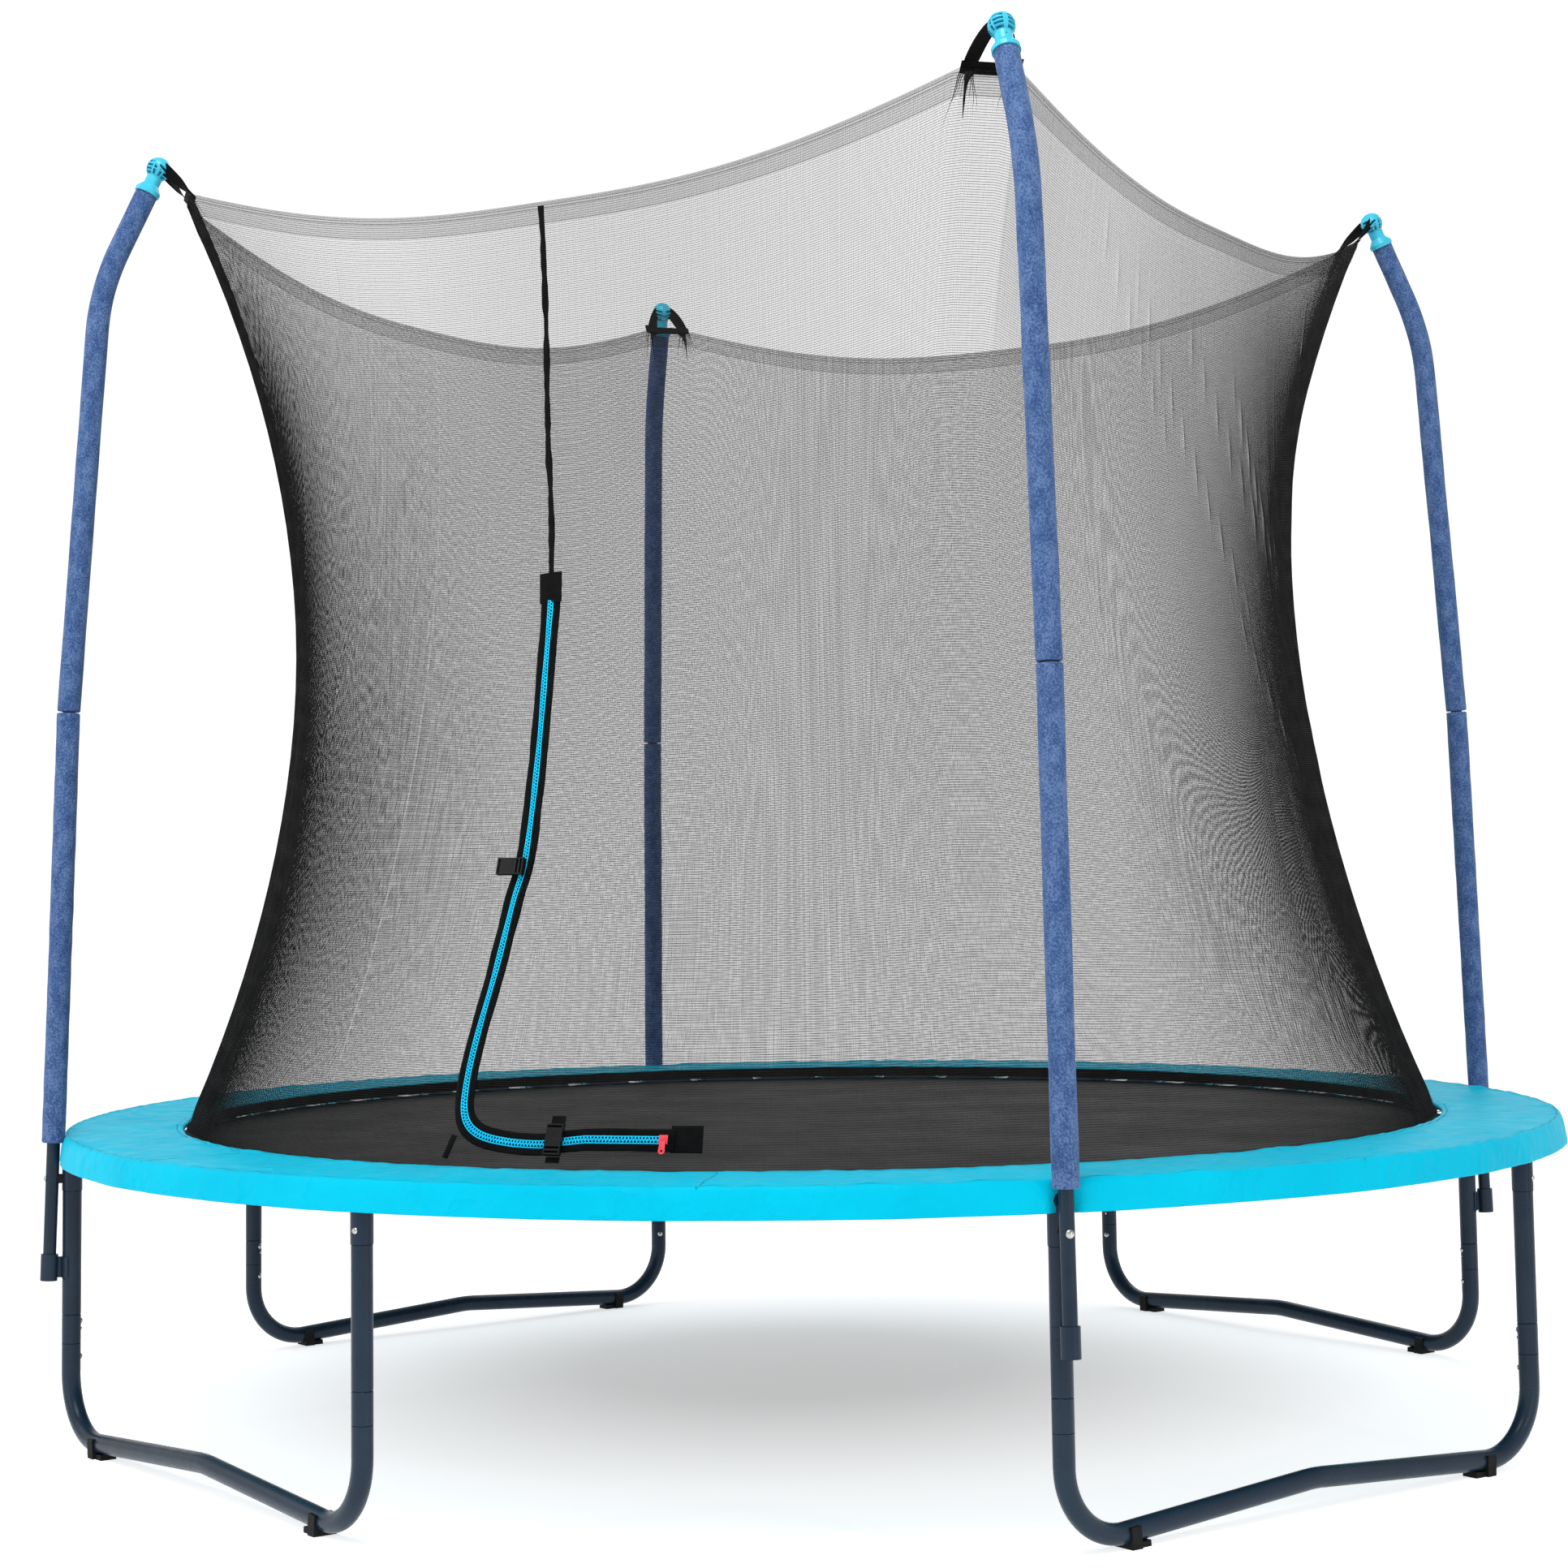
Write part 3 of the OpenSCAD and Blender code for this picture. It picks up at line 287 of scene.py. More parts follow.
# ---- Materials ----
def new_material(name, color, roughness, **sockets):
    material = bpy.data.materials.new(name)
    material.use_nodes = True
    shader = material.node_tree.nodes["Principled BSDF"]
    shader.inputs["Base Color"].default_value = (*color, 1)
    shader.inputs["Roughness"].default_value = roughness
    for key, value in sockets.items():
        shader.inputs[key.replace("_", " ").title().replace("Ior", "IOR")].default_value = value
    return material, material.node_tree, shader


def node(tree, kind, inputs=None, **settings):
    n = tree.nodes.new("ShaderNode" + kind)
    for key, value in settings.items():
        setattr(n, key, value)
    for key, value in (inputs or {}).items():
        if isinstance(value, bpy.types.NodeSocket):
            tree.links.new(value, n.inputs[key])
        else:
            n.inputs[key].default_value = value
    return n


def coords(tree, kind="Object"):
    return tree.nodes.new("ShaderNodeTexCoord").outputs[kind]


def noise(tree, vector, scale, detail=3.0, rough=0.55, stretch=None):
    if stretch:
        vector = node(tree, "Mapping", {"Vector": vector, "Scale": stretch}).outputs[0]
    return node(tree, "TexNoise", {"Vector": vector, "Scale": scale, "Detail": detail,
                                   "Roughness": rough}).outputs["Fac"]


def ramp(tree, value, stops):
    n = node(tree, "ValToRGB", {"Fac": value})
    while len(n.color_ramp.elements) < len(stops):
        n.color_ramp.elements.new(0.5)
    for element, (at, color) in zip(n.color_ramp.elements, stops):
        element.position = at
        element.color = (*color, 1) if len(color) == 3 else color
    return n.outputs["Color"]


def math_node(tree, operation, a, b=0.0, clamp=False):
    n = node(tree, "Math", {0: a, 1: b}, operation=operation)
    n.use_clamp = clamp
    return n.outputs[0]


def map_range(tree, value, low, high, to_low, to_high):
    return node(tree, "MapRange", {"Value": value, "From Min": low, "From Max": high,
                                   "To Min": to_low, "To Max": to_high}).outputs[0]


def bump(tree, shader, height, distance, strength=1.0, after=None):
    n = node(tree, "Bump", {"Height": height, "Distance": distance, "Strength": strength})
    if after is not None:
        tree.links.new(after, n.inputs["Normal"])
    tree.links.new(n.outputs[0], shader.inputs["Normal"])
    return n.outputs[0]


def checks(tree, u, v, pitch):
    """Waves along both axes multiplied: the over and under of a plain weave."""
    a, b = (math_node(tree, "SINE", math_node(tree, "MULTIPLY", axis, TAU / pitch)) for axis in (u, v))
    return math_node(tree, "MULTIPLY", a, b)


def tint(tree, shader, value, stops):
    tree.links.new(ramp(tree, value, stops), shader.inputs["Base Color"])


def gloss(tree, shader, value, low, high):
    """Roughness between low and high over the middle of a noise."""
    tree.links.new(map_range(tree, value, 0.3, 0.7, low, high), shader.inputs["Roughness"])


def split(tree, vector):
    return node(tree, "SeparateXYZ", {"Vector": vector}).outputs


def plain_finish(name, stops, scale, gloss_scale, roughness, grain, depth, strength, **sockets):
    """A finish that drifts a little in tone and roughness, with a fine grain."""
    m, t, s = new_material(name, stops[-1][1], roughness[0], **sockets)
    p = coords(t)
    tint(t, s, noise(t, p, *scale), stops)
    gloss(t, s, noise(t, p, *gloss_scale), *roughness)
    bump(t, s, noise(t, p, grain, 2), depth, strength)
    return m


def paint_material():
    """Powder coat: satin, with a faint orange peel and slightly uneven tone."""
    return plain_finish("steel_paint", [(0.3, (0.007, 0.017, 0.033)), (0.7, (0.011, 0.025, 0.044))], (9, 4),
                        (60, 3), (0.25, 0.34), 750, 0.0002, 0.25, specular_ior_level=0.20)


def zinc_material():
    return plain_finish("zinc_plate", [(0.3, (0.36, 0.36, 0.35)), (0.7, (0.58, 0.58, 0.57))], (160, 3),
                        (420, 2), (0.2, 0.38), 1400, 0.00008, 0.3, metallic=1.0)


def rubber_material():
    return plain_finish("black_rubber", [(0.3, (0.005,) * 3), (0.75, (0.012,) * 3)], (45, 4),
                        (300, 3), (0.5, 0.75), 1600, 0.0002, 0.4, specular_ior_level=0.10)


def plastic_material(name, dark, light, roughness, grain, subsurface=0.0, shine=0.3):
    m = plain_finish(name, [(0.25, dark), (0.75, light)], (55, 3), (240, 2),
                     (roughness - 0.05, roughness + 0.08), grain, 0.0001, 0.3,
                     subsurface_weight=subsurface, specular_ior_level=shine)
    shader = m.node_tree.nodes["Principled BSDF"]
    shader.inputs["Subsurface Radius"].default_value = (0.002, 0.004, 0.005)
    return m


def foam_material():
    """Closed-cell foam: mottled denim blue, soft and matt, with open cells on its skin."""
    m, t, s = new_material("sleeve_foam", (0.05, 0.10, 0.25), 0.88, sheen_weight=0.18,
                           sheen_roughness=0.45, specular_ior_level=0.2)
    s.inputs["Sheen Tint"].default_value = (0.55, 0.68, 0.95, 1)
    p = coords(t)
    fine = noise(t, p, 300, 4, 0.7)
    broad = noise(t, p, 46, 3, 0.6, (1, 1, 0.6))
    both = math_node(t, "ADD", math_node(t, "MULTIPLY", fine, 0.75), math_node(t, "MULTIPLY", broad, 0.35))
    tint(t, s, both, [(0.42, (0.018, 0.046, 0.145)), (0.53, (0.038, 0.086, 0.215)),
                               (0.64, (0.100, 0.165, 0.320))])
    cells = node(t, "TexVoronoi", {"Vector": p, "Scale": 520.0}).outputs["Distance"]
    first = bump(t, s, cells, 0.0005, 0.5)
    bump(t, s, broad, 0.002, 0.35, first)
    return m


def vinyl_material():
    """PVC on a woven base: bright cyan, low gloss, the cloth's weave and fine creases showing, with painted
    shade darkening its seams.
    """
    m, t, s = new_material("pad_vinyl", (0.0, 0.45, 0.64), 0.46, specular_ior_level=0.03)
    p = coords(t)
    tint(t, s, noise(t, p, 5, 5), [(0.3, (0.0, 0.415, 0.600)), (0.7, (0.0, 0.475, 0.670))])
    gloss(t, s, noise(t, p, 26, 4), 0.38, 0.55)
    x, y, z = (split(t, p)[k] for k in range(3))
    first = bump(t, s, checks(t, x, y, 0.0016), 0.00006, 0.25)
    creases = noise(t, p, 17, 6, 0.62)
    second = bump(t, s, creases, 0.008, 0.5, first)
    # long sharp wrinkles: where slow noise crosses its middle value
    lines = math_node(t, "ABSOLUTE", math_node(t, "SUBTRACT", noise(t, p, 4.5, 4, 0.5), 0.5))
    wrinkle = map_range(t, lines, 0.0, 0.035, 1.0, 0.0)
    third = bump(t, s, math_node(t, "MULTIPLY", wrinkle, noise(t, p, 3.1, 2)), 0.006, 0.6, second)
    # seams: round the outer and inner edges of the top, and across it every 45 degrees, pressed in by bump
    # and darkened in colour as painted shade in their creases
    flat = node(t, "CombineXYZ", {"X": x, "Y": y, "Z": 0.0}).outputs[0]
    r = node(t, "VectorMath", {0: flat}, operation="LENGTH").outputs["Value"]
    turn = math_node(t, "ADD", math_node(t, "ARCTAN2", y, x), math.radians(22.2 + 22.5))
    turn = math_node(t, "FLOORED_MODULO", turn, math.radians(45))
    across = math_node(t, "ABSOLUTE", math_node(t, "SUBTRACT", turn, math.radians(22.5)))
    seams = map_range(t, math_node(t, "MULTIPLY", across, 1.4), 0.0, 0.0020, 1.0, 0.0)
    for radius in (1.4915, 1.2825):
        off = math_node(t, "ABSOLUTE", math_node(t, "SUBTRACT", r, radius))
        seams = math_node(t, "MAXIMUM", seams, map_range(t, off, 0.0, 0.0018, 1.0, 0.0))
    upper = map_range(t, z, 0.594, 0.598, 0.0, 1.0)
    seams = math_node(t, "MULTIPLY", seams, upper)
    bump(t, s, math_node(t, "SUBTRACT", 1.0, seams), 0.0022, 0.8, third)
    # painted shade: the seam lines are mixed towards dark cyan, standing in for the shadow in their creases
    shade = node(t, "Mix", {"Factor": math_node(t, "MULTIPLY", seams, 0.55)}, data_type="RGBA")
    t.links.new(s.inputs["Base Color"].links[0].from_socket, shade.inputs[6])
    shade.inputs[7].default_value = (0.0, 0.16, 0.26, 1)
    t.links.new(shade.outputs[2], s.inputs["Base Color"])
    return m


def weave_material(name, dark, light, pitch):
    """Plain weave on the piece's own metric UV: u along it, v across."""
    m, t, s = new_material(name, dark, 0.7, sheen_weight=0.02, sheen_roughness=0.4,
                           specular_ior_level=0.05)
    uv = split(t, coords(t, "UV"))
    p = coords(t)
    cloth = checks(t, uv[0], uv[1], pitch)
    tone = math_node(t, "ADD", math_node(t, "MULTIPLY", cloth, 0.16),
                     noise(t, p, 38, 4, 0.6))
    tint(t, s, tone, [(0.3, dark), (0.72, light)])
    gloss(t, s, noise(t, p, 200, 2), 0.6, 0.8)
    bump(t, s, cloth, pitch * 0.35, 0.6)
    return m


def mat_material():
    """Tightly woven black polypropylene: flat tapes about 2 mm wide, with a slight plastic shine."""
    m, t, s = new_material("mat_weave", (0.018,) * 3, 0.6, specular_ior_level=0.14)
    p = coords(t)
    x, y = (split(t, p)[k] for k in range(2))
    pitch = 0.0042
    weave = checks(t, x, y, pitch)
    streak = noise(t, p, 14, 5, 0.7, (0.12, 9, 1))
    tone = math_node(t, "ADD", math_node(t, "MULTIPLY", weave, 0.10), streak)
    tint(t, s, tone, [(0.28, (0.014, 0.0135, 0.013)), (0.72, (0.027, 0.0262, 0.025))])
    gloss(t, s, noise(t, p, 5, 4), 0.52, 0.66)
    first = bump(t, s, weave, 0.0006, 0.35)
    bump(t, s, noise(t, p, 3, 3), 0.002, 0.2, first)
    return m


def yarn_material(name, tone):
    m, t, s = new_material(name, tone, 0.8, specular_ior_level=0.08)
    p = coords(t)
    light = tuple(c * 1.8 for c in tone)
    tint(t, s, noise(t, p, 30, 4), [(0.3, tone), (0.7, light)])
    bump(t, s, noise(t, p, 900, 2), 0.0003, 0.4)
    return m


def knit_material(name, alpha):
    """The knit between the rows, too fine to see, as a thin veil."""
    m, t, s = new_material(name, (0.020, 0.020, 0.021), 0.8, alpha=alpha, specular_ior_level=0.1)
    tint(t, s, noise(t, coords(t), 20, 3), [(0.3, (0.006,) * 3), (0.7, (0.012,) * 3)])
    return m


STEEL = paint_material()
ZINC = zinc_material()
RUBBER = rubber_material()
CAP = plastic_material("cap_plastic", (0.030, 0.39, 0.55), (0.050, 0.47, 0.63), 0.30, 900, 0.05)
BUCKLE = plastic_material("buckle_plastic", (0.0035,) * 3, (0.008, 0.008, 0.0078), 0.36, 1500, shine=0.2)
COIL = plastic_material("zip_coil", (0.002, 0.50, 0.80), (0.006, 0.62, 0.92), 0.42, 1600, shine=0.12)
RED = plastic_material("red_enamel", (0.72, 0.035, 0.060), (0.85, 0.075, 0.100), 0.25, 1400)
FOAM = foam_material()
VINYL = vinyl_material()
WEB = weave_material("webbing", (0.0020, 0.0020, 0.0021), (0.0056, 0.0056, 0.0057), 0.0018)
TAPE = weave_material("zip_tape_weave", (0.0016, 0.0016, 0.0017), (0.0044, 0.0044, 0.0045), 0.0009)
MAT = mat_material()
YARN = yarn_material("net_yarn", (0.0115, 0.0115, 0.0116))
KNIT = knit_material("net_knit", 0.05)
HEM_KNIT = knit_material("net_hem_knit", 0.22)
THREAD = yarn_material("thread", (0.010,) * 3)

# Every CAD node that shows gets its own finish
FINISHES = {
    STEEL: ["frame_rail_", "leg_post_", "w_base_", "pole_lower_", "pole_upper_", "leg_couplers",
            "pole_brackets"],
    ZINC: ["pole_bolts", "socket_screws", "coupler_screws", "springs", "v_rings"],
    RUBBER: ["foot_clips", "pole_spacers"],
    CAP: ["pole_cap_"],
    BUCKLE: ["buckle_"],
    RED: ["zip_slider", "zip_pull"],
    COIL: ["zip_teeth"],
    FOAM: ["foam_"],
    VINYL: ["pad_"],
    MAT: ["mat"],
    WEB: ["mat_binding", "net_straps", "door_tape", "zip_tape", "buckle_straps"],
    YARN: ["net"],
}


# Radius that each CAD node's edges are rounded to, by the start of its name
ROUNDED = {"buckle_": 0.0009, "pole_cap_": 0.0006, "zip_pull": 0.0004, "foot_clips": 0.0012}


def dress_cad():
    """Materials and softened edges for the CAD nodes."""
    for name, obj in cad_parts.items():
        best = max(((len(stem), m) for m, stems in FINISHES.items() for stem in stems
                    if name.startswith(stem)), key=lambda pair: pair[0])[1]
        obj.data.materials.clear()
        obj.data.materials.append(best)
        for stem, width in ROUNDED.items():
            if name.startswith(stem):
                edge = obj.modifiers.new("edge", "BEVEL")
                edge.width, edge.segments, edge.limit_method = width, 2, "ANGLE"


dress_cad()


# ---- Net surface ----
def clamp_phi(az):
    return np.clip((az + 405) % 90 - 45, -SIDE_HALF, SIDE_HALF)


def edge_r(phi):
    return (NET_CORNER_R * math.cos(math.radians(SIDE_HALF)) / np.cos(np.radians(phi))
            * (1 + 0.0251 * (1 - (phi / SIDE_HALF) ** 2)))


def edge_z(phi):
    return NET_SIDE_Z + (NET_CORNER_Z - NET_SIDE_Z) * np.abs(phi / SIDE_HALF) ** 2.965


def net_level(az, h):
    """Radius and height of the net at an azimuth in degrees and a share of its height."""
    phi = clamp_phi(az)
    draw = 0.115 + 0.101 * (phi / SIDE_HALF) ** 4
    r = NET_BASE_R + (edge_r(phi) - NET_BASE_R) * h - draw * 4 * h * (1 - h)
    z = NET_BASE_Z + (edge_z(phi) - NET_BASE_Z) * h
    below = h < 0
    drop = -h * NET_LENGTH
    r = np.where(below, NET_BASE_R + drop * 0.15, r)
    z = np.where(below, NET_BASE_Z - drop, z)
    return r, z


def level_at(az, z):
    """Share of the net's height at a height in metres."""
    h = (z - NET_BASE_Z) / (edge_z(clamp_phi(az)) - NET_BASE_Z)
    return np.where(z < NET_BASE_Z, (z - NET_BASE_Z) / NET_LENGTH, h)


BROAD = ripples(9, (0.45, 1.3), 11)
FINE = ripples(12, (0.12, 0.30), 12)
CREASES = [((-31, 0.97), (-13, 0.72), 0.0022), ((-24, 0.93), (4, 0.55), 0.0020),
           ((-12, 0.90), (16, 0.60), 0.0018), ((2, 0.86), (26, 0.42), 0.0020),
           ((14, 0.70), (30, 0.28), 0.0016), ((-4, 0.60), (12, 0.34), 0.0012),
           ((30, 0.95), (36, 0.45), 0.0014), ((-33, 0.62), (-20, 0.36), 0.0012)]


def beside(x, y, dx, dy):
    """Share along the segment (dx, dy) from its start, and the distance off it."""
    length = math.hypot(dx, dy)
    return (x * dx + y * dy) / length**2, (x * dy - y * dx) / length


def creases(phi, h):
    """Straight packing creases across a panel, each from one point of (angle, height share) to another."""
    total = 0.0
    for (a0, h0), (a1, h1), size in CREASES:
        x, y = (phi - a0) * 0.020, (h - h0) * NET_LENGTH
        along, off = beside(x, y, (a1 - a0) * 0.020, (h1 - h0) * NET_LENGTH)
        fade = np.clip(along / 0.15, 0, 1) * np.clip((1 - along) / 0.2, 0, 1)
        total = total + size * fade * np.exp(-np.abs(off) / 0.006)
    return total


def net_ripple(az, h):
    """How far the cloth stands off its smooth shape, outwards."""
    az, h = np.broadcast_arrays(np.asarray(az, float), np.asarray(h, float))
    phi = (az + 405) % 90 - 45
    arc = np.radians(az) * 1.15
    run = h * NET_LENGTH
    total = 0.0020 * wave_noise(arc, run * 0.28, BROAD) + 0.0001 * wave_noise(arc, run * 0.12, FINE)
    near = np.exp(-((np.abs(phi) - 43) / 5.0) ** 2) * np.clip(h, 0, 1) ** 3
    total = total + near * 0.0035 * wave_noise(arc, run * 0.03, FINE)
    panel = np.floor((az + 45) / 90)
    total = total + creases(phi, h) * np.where(panel % 4 == 0, 1.0, np.where(panel % 2 == 0, 0.5, -0.4))
    door = np.exp(-((az + 83) / 9.0) ** 2) * np.clip((0.75 - h) / 0.1, 0, 1)
    low = np.clip(h / 0.10, 0, 1)
    hem = np.clip((1.0 - h) / 0.03, 0.25, 1)
    return total * (1 - 0.95 * door) * low * hem


def wrap_degrees(az):
    return (np.asarray(az, float) + 180) % 360 - 180


def net_points(az, h, off=0.0):
    """Points on the net, that far outside it, with the outward normals."""
    az, h = np.broadcast_arrays(np.asarray(az, float), np.asarray(h, float))
    da, dh = 0.05, 0.002

    def base(a, q):
        r, z = net_level(a, q)
        return polar(r + net_ripple(wrap_degrees(a), q), np.radians(a), z)

    p = base(az, h)
    du = base(az + da, h) - base(az - da, h)
    dv = base(az, h + dh) - base(az, h - dh)
    n = unit(np.cross(du, dv))
    return p + n * np.asarray(off)[..., None] if np.ndim(off) else p + n * off, n


HEM = 0.040 / NET_LENGTH
HEM_CORDS = [(1, 0.0014), (0.30, 0.0020), (0.14, 0.0016), (0, 0.0014)]  # share of the hem down, width
FOOT_H = (NET_FOOT_Z - NET_BASE_Z) / NET_LENGTH
ROW_PITCH, ROW_W = 0.0040, 0.00065
# Upright yarns: how much of their pitch they fill across the cloth, and through its thickness by height
RIB_PITCH, RIB_WIDE = 0.0015, 0.20
RIB_DEEP = [(0, 0.24), (0.25, 0.27), (0.42, 0.26), (0.6, 0.22), (0.85, 0.19), (1, 0.165)]


def blend_foot(obj):
    """The net's foot is laced to the mat; this only bakes the piece's placing into its mesh."""
    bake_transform(obj)


def net_rows(build, levels, off):
    """Knitted rows as flat yarns that lie in the cloth."""
    az = np.arange(240) * 360 / 240
    half = ROW_W / 2 / NET_LENGTH
    for h in levels:
        p0, _ = net_points(az, h - half, off)
        p1, _ = net_points(az, h + half, off)
        build.grid(np.stack([p0, p1], 1), wrap_u=True)


def net():
    columns = 720
    az = np.arange(columns) * 360 / columns
    h = np.concatenate([[FOOT_H, FOOT_H / 2], np.linspace(0, 1, 121)])
    p, _ = net_points(az[:, None], h[None])
    b = Build()
    arc = np.radians(az) * 1.15
    b.grid(p, wrap_u=True, uv=uv_grid(arc, h * NET_LENGTH))
    sheet = b.piece("net_sheet", KNIT, slot="net_mesh", replaces=["net"])
    rows = Build()
    levels = np.arange(FOOT_H, 1.0, ROW_PITCH / NET_LENGTH)
    levels = levels + RNG.uniform(-0.05, 0.05, len(levels)) * ROW_PITCH / NET_LENGTH
    net_rows(rows, levels, 0.0003)
    rows = rows.piece("net_rows", YARN, slot="net_mesh", smooth=False)
    ribs = Build()
    count = int(round(TAU * 1.2 / RIB_PITCH))
    az = (np.arange(count) + RNG.uniform(-0.2, 0.2, count)) * 360 / count
    h = np.linspace(FOOT_H, 1, 30)
    p, n = net_points(az[:, None], h[None])
    at, share = np.array(RIB_DEEP).T
    phi = (az + 405) % 90 - 45
    corner = np.exp(-((np.abs(phi) - 45) / 12) ** 2)[:, None] * np.clip((h - 0.5) / 0.3, 0, 1)
    n = n * (np.interp(h, at, share) * (1 + 0.9 * corner))[..., None] * RIB_PITCH / 2
    around = np.stack([-np.sin(np.radians(az)), np.cos(np.radians(az)), 0 * az], 1)[:, None] * RIB_PITCH / 2
    wide = around * RIB_WIDE + 0 * p
    pair = np.concatenate([np.stack([p - n, p + n], 2), np.stack([p - wide, p + wide], 2)])
    ribs.copies(pair, quads(len(h), 2))
    ribs = ribs.piece("net_ribs", YARN, slot="net_mesh", smooth=False)
    hem = Build()
    az = np.arange(columns) * 360 / columns
    q = np.linspace(1 - HEM, 1, 8)
    p, _ = net_points(az[:, None], q[None], 0.0016)
    hem.grid(p, wrap_u=True)
    for down, wide in HEM_CORDS:
        p, _ = net_points(az, 1 - HEM * down, 0.0010)
        tube(hem, p, wide / 2, 6, closed=True)
    row = ROW_PITCH / NET_LENGTH
    net_rows(hem, np.arange(1 - HEM, 1.0, row) + row / 2, 0.0020)
    hem_piece = hem.piece("net_hem", HEM_KNIT, body="root", slot="net_mesh")
    lace = Build()
    q = np.linspace(FOOT_H, FOOT_H + 0.022 / NET_LENGTH, 4)
    p, _ = net_points(az[:, None], q[None], 0.0008)
    lace.grid(p, wrap_u=True)
    lace_piece = lace.piece("net_foot_band", WEB, slot="webbing")
    for piece in (sheet, rows, ribs, lace_piece):
        blend_foot(piece)
    return sheet


# ---- Tapes, zip and door ----
def on_route(route, step, off):
    """Points, side and normal along a route of (azimuth, height) on the net."""
    fine = smooth_curve(route)
    p, _ = net_points(fine[:, 0], level_at(fine[:, 0], fine[:, 1]))
    along = along_of(p)
    at = np.linspace(0, along[-1], max(3, int(round(along[-1] / step)) + 1))
    az, z = np.interp(at, along, fine[:, 0]), np.interp(at, along, fine[:, 1])
    return face_frames(*net_points(az, level_at(az, z), off))


def run_frame():
    """The straight zip run's origin and its axes off the net and along the zip."""
    dz = 0.005
    hi, lo = level_at(RUN_AZ, RUN_Z + dz), level_at(RUN_AZ, RUN_Z - dz)
    slope = (net_level(RUN_AZ, hi)[0] - net_level(RUN_AZ, lo)[0]) / (2 * dz)
    tilt = -math.atan(float(slope))
    radial, around, up = axes_at(math.radians(RUN_AZ))
    normal = radial * math.cos(tilt) + up * math.sin(tilt)
    return radial * RUN_R + up * RUN_Z, normal, around


def zip_line(step, off, end):
    """The zip from its top to the far end of the straight run, as points, tangent, side, normal."""
    origin, normal, around = run_frame()
    p1, _, _, n1 = on_route(ZIP_ROUTE[:-1] + [(-79.6, 0.6455)], step, off)
    y = np.arange(RUN_FROM + 0.012, end + 0.0001, step)
    p2 = origin + around * y[:, None] + normal * off
    p = np.vstack([p1[:-2], p2])
    n = np.vstack([n1[:-2], np.broadcast_to(normal, p2.shape)])
    line = resample(np.hstack([p, n]), step)
    p, n = line[:, :3], line[:, 3:]
    for _ in range(3):
        p[1:-1] = (p[:-2] + 2 * p[1:-1] + p[2:]) / 4
    return face_frames(p, n)


def zip_spread(z):
    """Share of the teeth that the tape's lips leave showing: less up the doorway, and unevenly."""
    return np.interp(z, [0.66, 0.80], [1.0, 0.72]) + np.interp(z, [0.70, 0.80], [0, 0.10]) * np.sin(z * 41)


def teeth(build, p, tangent, side, normal, pitch, reach):
    """Moulded teeth along a line, one row from each side, meshed at the middle."""
    along = along_of(p)
    count = int(along[-1] / pitch)
    at = (np.arange(count) + 0.5) * pitch

    def pick(a):
        return np.stack([np.interp(at, along, a[:, k]) for k in range(3)], 1)

    p, t, s, n = pick(p), pick(tangent), pick(side), pick(normal)
    sign = np.where(np.arange(count) % 2, 1.0, -1.0)[:, None]
    reach = reach * zip_spread(p[:, 2:])
    # a tooth's stations: how far out, half its width as a share of the pitch, height
    profile = [(-0.12, 0.30, 0.35), (0.05, 0.42, 0.9), (0.55, 0.40, 1.0), (0.95, 0.34, 0.72),
               (1.0, 0.28, 0.4)]
    rings = []
    for out, half, high in profile:
        centre = p + s * sign * (out - 0.12) * reach
        w = t * half * pitch * 0.98
        up = n * high * 0.0016
        rings.append(np.stack([centre - w - up * 0.6, centre + w - up * 0.6, centre + w + up * 0.7,
                               centre + w * 0.3 + up * 1.15, centre - w * 0.3 + up * 1.15,
                               centre - w + up * 0.7], 1))
    grids = np.stack(rings, 1)
    nu, nv = grids.shape[1:3]
    ends = np.array([[0, 1, 2, 5], [5, 2, 3, 4]])
    build.copies(grids, np.vstack([quads(nu, nv, wrap_v=True), ends[:, ::-1], ends + (nu - 1) * nv]))


def zip_and_door():
    p, t, s, n = zip_line(0.006, 0.0026, TAPE_TO)
    wob = ripples(6, (0.05, 0.16), 21)

    def flutter(along, across):
        return 0.0009 * wave_noise(along, across * 0.02, wob) * np.abs(across) ** 2

    b = Build()
    strip(b, p, s, n, TAPE_W, 0.0011, across=9, wave=flutter)
    b.piece("zip_tapes", TAPE, body="root", slot="webbing", replaces=["zip_tape"])
    b = Build()
    p, t, s, n = zip_line(0.006, 0.0026, RUN_TO - 0.003)
    teeth(b, p + n * 0.0016, t, s, n, 0.0030, TEETH_W / 2)
    for sign in (-1, 1):
        tube(b, p + n * 0.0009 + s * sign * TEETH_W * 0.5 * zip_spread(p[:, 2:]), 0.0011, 6)
    b.piece("zip_teeth_rows", COIL, body="root", slot="zip_coil", replaces=["zip_teeth"])

    b = Build()
    dp, _, ds, dn = on_route(DOOR_ROUTE, 0.005, 0.0026)
    wob2 = ripples(7, (0.03, 0.12), 22)
    width = 0.012 + 0.0016 * wave_noise(along_of(dp), 0.0, wob2)
    strip(b, dp, ds, dn, width, 0.0012, across=5,
          wave=lambda a, c: 0.0007 * wave_noise(a, c * 0.02, wob2))
    for route, off, wide, wavy in PATCHES:
        pp, _, ps, pn = on_route(route, 0.004, off)
        strip(b, pp, ps, pn, wide, 0.0014, across=9, wave=lambda a, c: wavy * wave_noise(a, c * 0.02, wob))
    sp, _, ss, sn = on_route([(-89.5, 0.650), (-89.9, 0.612)], 0.004, 0.0026)
    strip(b, sp, ss, sn, 0.012, 0.0012, across=5)
    b.piece("door_tapes", WEB, body="root", slot="webbing", replaces=["door_tape"])


